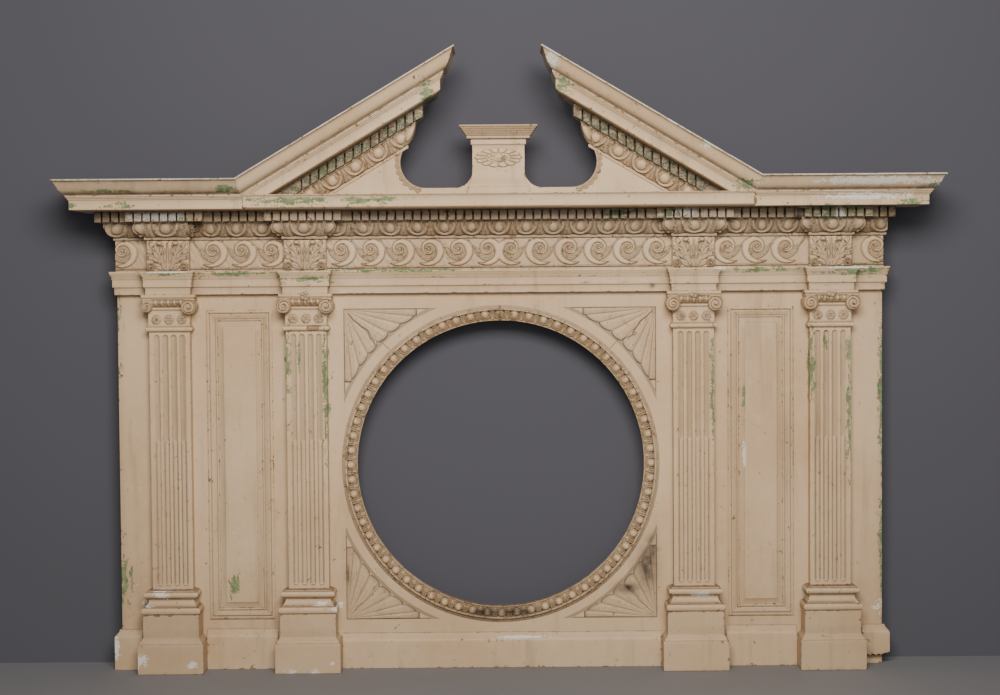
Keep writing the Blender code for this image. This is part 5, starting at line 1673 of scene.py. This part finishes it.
def board_seams_and_shade(n):
    """Joints round the square of the opening, a crack, and painted shade in a strip along the shells' arc"""
    split = n.tree.nodes.new("ShaderNodeSeparateXYZ")
    n.link(n.coord, split.inputs[0])
    across = n.math("ABSOLUTE", split.outputs["X"])
    rise = n.math("SUBTRACT", split.outputs["Z"], OPEN_Z)
    along = n.math("ABSOLUTE", rise)
    corner = SQUARE_HALF - 0.003
    reach = n.math("SQRT", n.math("ADD", n.math("MULTIPLY", across, across), n.math("MULTIPLY", rise, rise)))
    waver = n.math("MULTIPLY", n.math("SUBTRACT", n.noise(30.0, 2.0, offset=4.0), 0.5), 0.0016)
    near = n.math("LESS_THAN", n.math("MAXIMUM", across, along), corner + 0.0015)
    horn = n.math("GREATER_THAN", n.math("MINIMUM", across, along), 0.200)
    sides = n.math("MAXIMUM", band_mask(n, n.math("ADD", across, waver), corner, 0.0016),
                   band_mask(n, n.math("ADD", along, waver), corner, 0.0016))
    sides = n.math("MULTIPLY", n.math("MULTIPLY", sides, near), horn)
    # Painted shade along the arc, where the shells' edge shades the board
    strip = n.math("MULTIPLY", band_mask(n, reach, SHELL_ARC + 0.0015, 0.0060), near)
    strip = n.math("MULTIPLY", strip, 0.62)
    bent = n.math("ADD", rise, n.math("MULTIPLY", waver, 3.0))
    slant = n.math("SUBTRACT", n.math("MULTIPLY", across, 1.04), bent)
    beyond = n.math("GREATER_THAN", reach, OPEN_R + RING_W - 0.001)
    crack = n.math("MULTIPLY", n.math("MULTIPLY", band_mask(n, slant, 0.0, 0.0014), beyond), near)
    return n.math("MAXIMUM", n.math("MAXIMUM", sides, strip), crack)


def old_paint(name="old_cream_paint", seamed=False):
    """Cream paint over green and white coats on wood, chipped on its arrises, with dirt and painted shade in
    its hollows and painted shade lower down
    """
    n = Nodes(name)
    ridge, hollow = n.value("ridge"), n.value("hollow")
    green, bare_and_highlight, stain_and_shade = n.value("green"), n.value("bare_and_highlight"), n.value("stain_and_shade")
    middle = n.noise(38.0, 6.0)
    fine = n.noise(190.0, 4.0, offset=5.0)
    other = n.noise(62.0, 6.0, offset=11.0)
    broad = n.noise(3.2, 4.0, offset=2.0)
    streak = n.noise(26.0, 4.0, stretch=(1.0, 1.0, 0.09), offset=9.0)
    spot = n.tree.nodes.new("ShaderNodeSeparateXYZ")
    n.link(n.coord, spot.inputs[0])
    above = n.math("GREATER_THAN", spot.outputs["Z"], Z_ARCHITRAVE)
    flakes_up = n.noise(95.0, 4.0, stretch=(1.0, 1.0, 0.35), offset=13.0)
    flakes_along = n.noise(95.0, 4.0, stretch=(0.30, 1.0, 1.0), offset=17.0)
    turned = n.math("MULTIPLY", above, n.math("SUBTRACT", flakes_along, flakes_up))
    flakes = n.sum((flakes_up, 1.0), (turned, 1.0))

    coat = n.mix(n.step(broad, 0.35, 0.68), CREAM, CREAM_WARM)
    coat = n.mix(n.math("MULTIPLY", n.step(middle, 0.50, 0.75), 0.35), coat, CREAM_PALE)
    dull = n.math("MULTIPLY", n.step(streak, 0.52, 0.78), 0.30)
    coat = n.mix(dull, coat, GRIME_AND_SHADE)
    specks = n.math("MULTIPLY", n.step(fine, 0.64, 0.70), 0.30)
    coat = n.mix(specks, coat, GRIME_AND_SHADE)
    # Painted shade, darker towards the bottom; the outer ends are also made darker
    foot = n.math("SUBTRACT", 1.0, n.step(spot.outputs["Z"], 0.0, 0.55))
    wing = n.step(n.math("ABSOLUTE", spot.outputs["X"]), 0.55, 1.05)
    coat = n.mix(n.sum((foot, 0.15), (wing, 0.07)), coat, GRIME_AND_SHADE)
    # Dirt and painted shade in the hollows
    dirt = n.math("MULTIPLY", hollow, n.sum((middle, 0.9), 0.28), clamp=True)
    coat = n.mix(n.math("MULTIPLY", dirt, 0.78, clamp=True), coat, GRIME_AND_SHADE)

    green_field = n.sum((flakes, 0.62), (fine, 0.38), (green, 0.215), (ridge, 0.070))
    green_share = n.step(green_field, 0.640, 0.665)
    green_coat = n.mix(n.step(other, 0.40, 0.62), GREEN, GREEN_PALE)
    coat = n.mix(green_share, coat, green_coat)

    white_field = n.sum((flakes_along, 0.25), (other, 0.30), (fine, 0.45), (bare_and_highlight, 0.275), (green, 0.05),
                        (ridge, 0.085))
    white_share = n.step(white_field, 0.655, 0.680)
    coat = n.mix(white_share, coat, WHITE)

    wood_field = n.sum((middle, -0.55), (other, 0.62), (fine, 0.36), (ridge, 0.120), (bare_and_highlight, -0.06), 0.32)
    wood_share = n.step(wood_field, 0.705, 0.725)
    coat = n.mix(wood_share, coat, wood_colour(n))
    # Soot stains, and painted shade from each piece's dark values
    coat = n.mix(n.math("MULTIPLY", stain_and_shade, n.sum((middle, 1.3), 0.15), clamp=True), coat, SOOT_AND_SHADE)

    if seamed:
        seams_and_shade = board_seams_and_shade(n)
        coat = n.mix(n.math("MULTIPLY", seams_and_shade, 0.85), coat, GRIME_AND_SHADE)

    normal = n.tree.nodes.new("ShaderNodeNewGeometry").outputs["True Normal"]
    split = n.tree.nodes.new("ShaderNodeSeparateXYZ")
    n.link(normal, split.inputs[0])
    behind = n.step(split.outputs["Y"], 0.60, 0.80)
    on_top = n.step(split.outputs["Z"], 0.80, 0.95)
    unpainted = n.math("MAXIMUM", behind, n.math("MULTIPLY", on_top, n.step(other, 0.30, 0.50)))
    coat = n.mix(unpainted, coat, wood_colour(n))
    n.link(coat, n.shader.inputs["Base Color"])

    lost = n.math("MAXIMUM", n.math("MAXIMUM", green_share, white_share), wood_share)
    n.link(n.sum((lost, 0.16), (fine, 0.12), 0.46), n.shader.inputs["Roughness"])
    height = n.sum((lost, -0.55), (wood_share, -0.35), (middle, 0.35), (fine, 0.18), (specks, -0.5))
    if seamed:
        height = n.sum((seams_and_shade, -2.0), height)
    n.link(n.bump(height, 0.0009, 0.8), n.shader.inputs["Normal"])
    n.shader.inputs["Specular IOR Level"].default_value = 0.35
    return n.material


def floor_material():
    n = Nodes("pale_floor")
    haze = n.noise(1.5, 3.0)
    colour = n.mix(n.step(haze, 0.3, 0.7), (0.172, 0.169, 0.178), (0.187, 0.184, 0.193))
    n.link(colour, n.shader.inputs["Base Color"])
    n.shader.inputs["Roughness"].default_value = 0.7
    return n.material


# Floor, light and backdrop

FLOOR_HALF = 2.6
FLOOR_FRONT = -3.0
FLOOR_BACK = 0.165
WALL_TOP = 2.6
BACKDROP = (0.118, 0.114, 0.124)

# Name, place, target, size, power and tint of each light
LIGHTS = (
    ("key", (0.10, -3.35, 2.50), (0.05, 0.0, 1.25), (2.0, 1.2), 175.0, (1.0, 0.955, 0.89)),
    ("fill", (0.4, -4.4, 1.7), (0.0, 0.0, 0.9), (3.6, 2.0), 48.0, (1.0, 0.97, 0.93)),
)


def wall_material():
    """Grey backdrop: it takes the shadow, hides nothing from behind and leaves the back of the object lit"""
    n = Nodes("grey_backdrop")
    n.shader.inputs["Base Color"].default_value = (0.070, 0.070, 0.084, 1.0)
    n.shader.inputs["Roughness"].default_value = 0.9
    rear = n.tree.nodes.new("ShaderNodeNewGeometry").outputs["Backfacing"]
    seen = n.tree.nodes.new("ShaderNodeLightPath").outputs["Is Camera Ray"]
    rear = n.math("MAXIMUM", rear, n.math("SUBTRACT", 1.0, seen))
    clear = n.tree.nodes.new("ShaderNodeBsdfTransparent")
    mixed = n.tree.nodes.new("ShaderNodeMixShader")
    n.tree.links.new(rear, mixed.inputs[0])
    n.tree.links.new(n.shader.outputs[0], mixed.inputs[1])
    n.tree.links.new(clear.outputs[0], mixed.inputs[2])
    n.tree.links.new(mixed.outputs[0], n.tree.nodes["Material Output"].inputs["Surface"])
    return n.material


def add_stage(name, corners, material):
    mesh = bpy.data.meshes.new(name)
    mesh.from_pydata(corners, [], [(0, 1, 2, 3)])
    mesh.materials.append(material)
    piece = bpy.data.objects.new(name, mesh)
    bpy.context.scene.collection.objects.link(piece)


def add_floor_and_wall():
    left, right, under = -FLOOR_HALF, FLOOR_HALF, -0.0006
    add_stage("floor", [(left, FLOOR_FRONT, under), (right, FLOOR_FRONT, under), (right, FLOOR_BACK, under),
                        (left, FLOOR_BACK, under)], floor_material())
    add_stage("wall", [(left, FLOOR_BACK, under), (right, FLOOR_BACK, under), (right, FLOOR_BACK, WALL_TOP),
                       (left, FLOOR_BACK, WALL_TOP)], wall_material())


def add_light(name, place_at, target, size, power, tint):
    data = bpy.data.lights.new(name, "AREA")
    data.shape = "RECTANGLE"
    data.size, data.size_y = size
    data.energy = power
    data.color = tint
    light = bpy.data.objects.new(name, data)
    way = Vector(target) - Vector(place_at)
    light.matrix_world = Matrix.Translation(place_at) @ way.to_track_quat("-Z", "Y").to_matrix().to_4x4()
    bpy.context.scene.collection.objects.link(light)


def add_lights():
    for light in LIGHTS:
        add_light(*light)
    world = bpy.data.worlds.new("studio")
    world.use_nodes = True
    grey = world.node_tree.nodes["Background"]
    grey.inputs["Color"].default_value = (*BACKDROP, 1.0)
    grey.inputs["Strength"].default_value = 1.0
    bpy.context.scene.world = world


add_camera()
PAINT = old_paint()
BOARD_PAINT = old_paint("old_cream_paint_of_the_board", seamed=True)
back_board()
panels()
skirting()
pedestals()
bases()
shafts()
capitals()
architrave()
frieze()
frieze_blocks()
egg_course()
dentil_course()
corona()
simas()
raking_coronas()
raking_eggs()
raking_dentils()
tympanum()
finial()
oval_flower()
ring()
shells()
add_floor_and_wall()
add_lights()
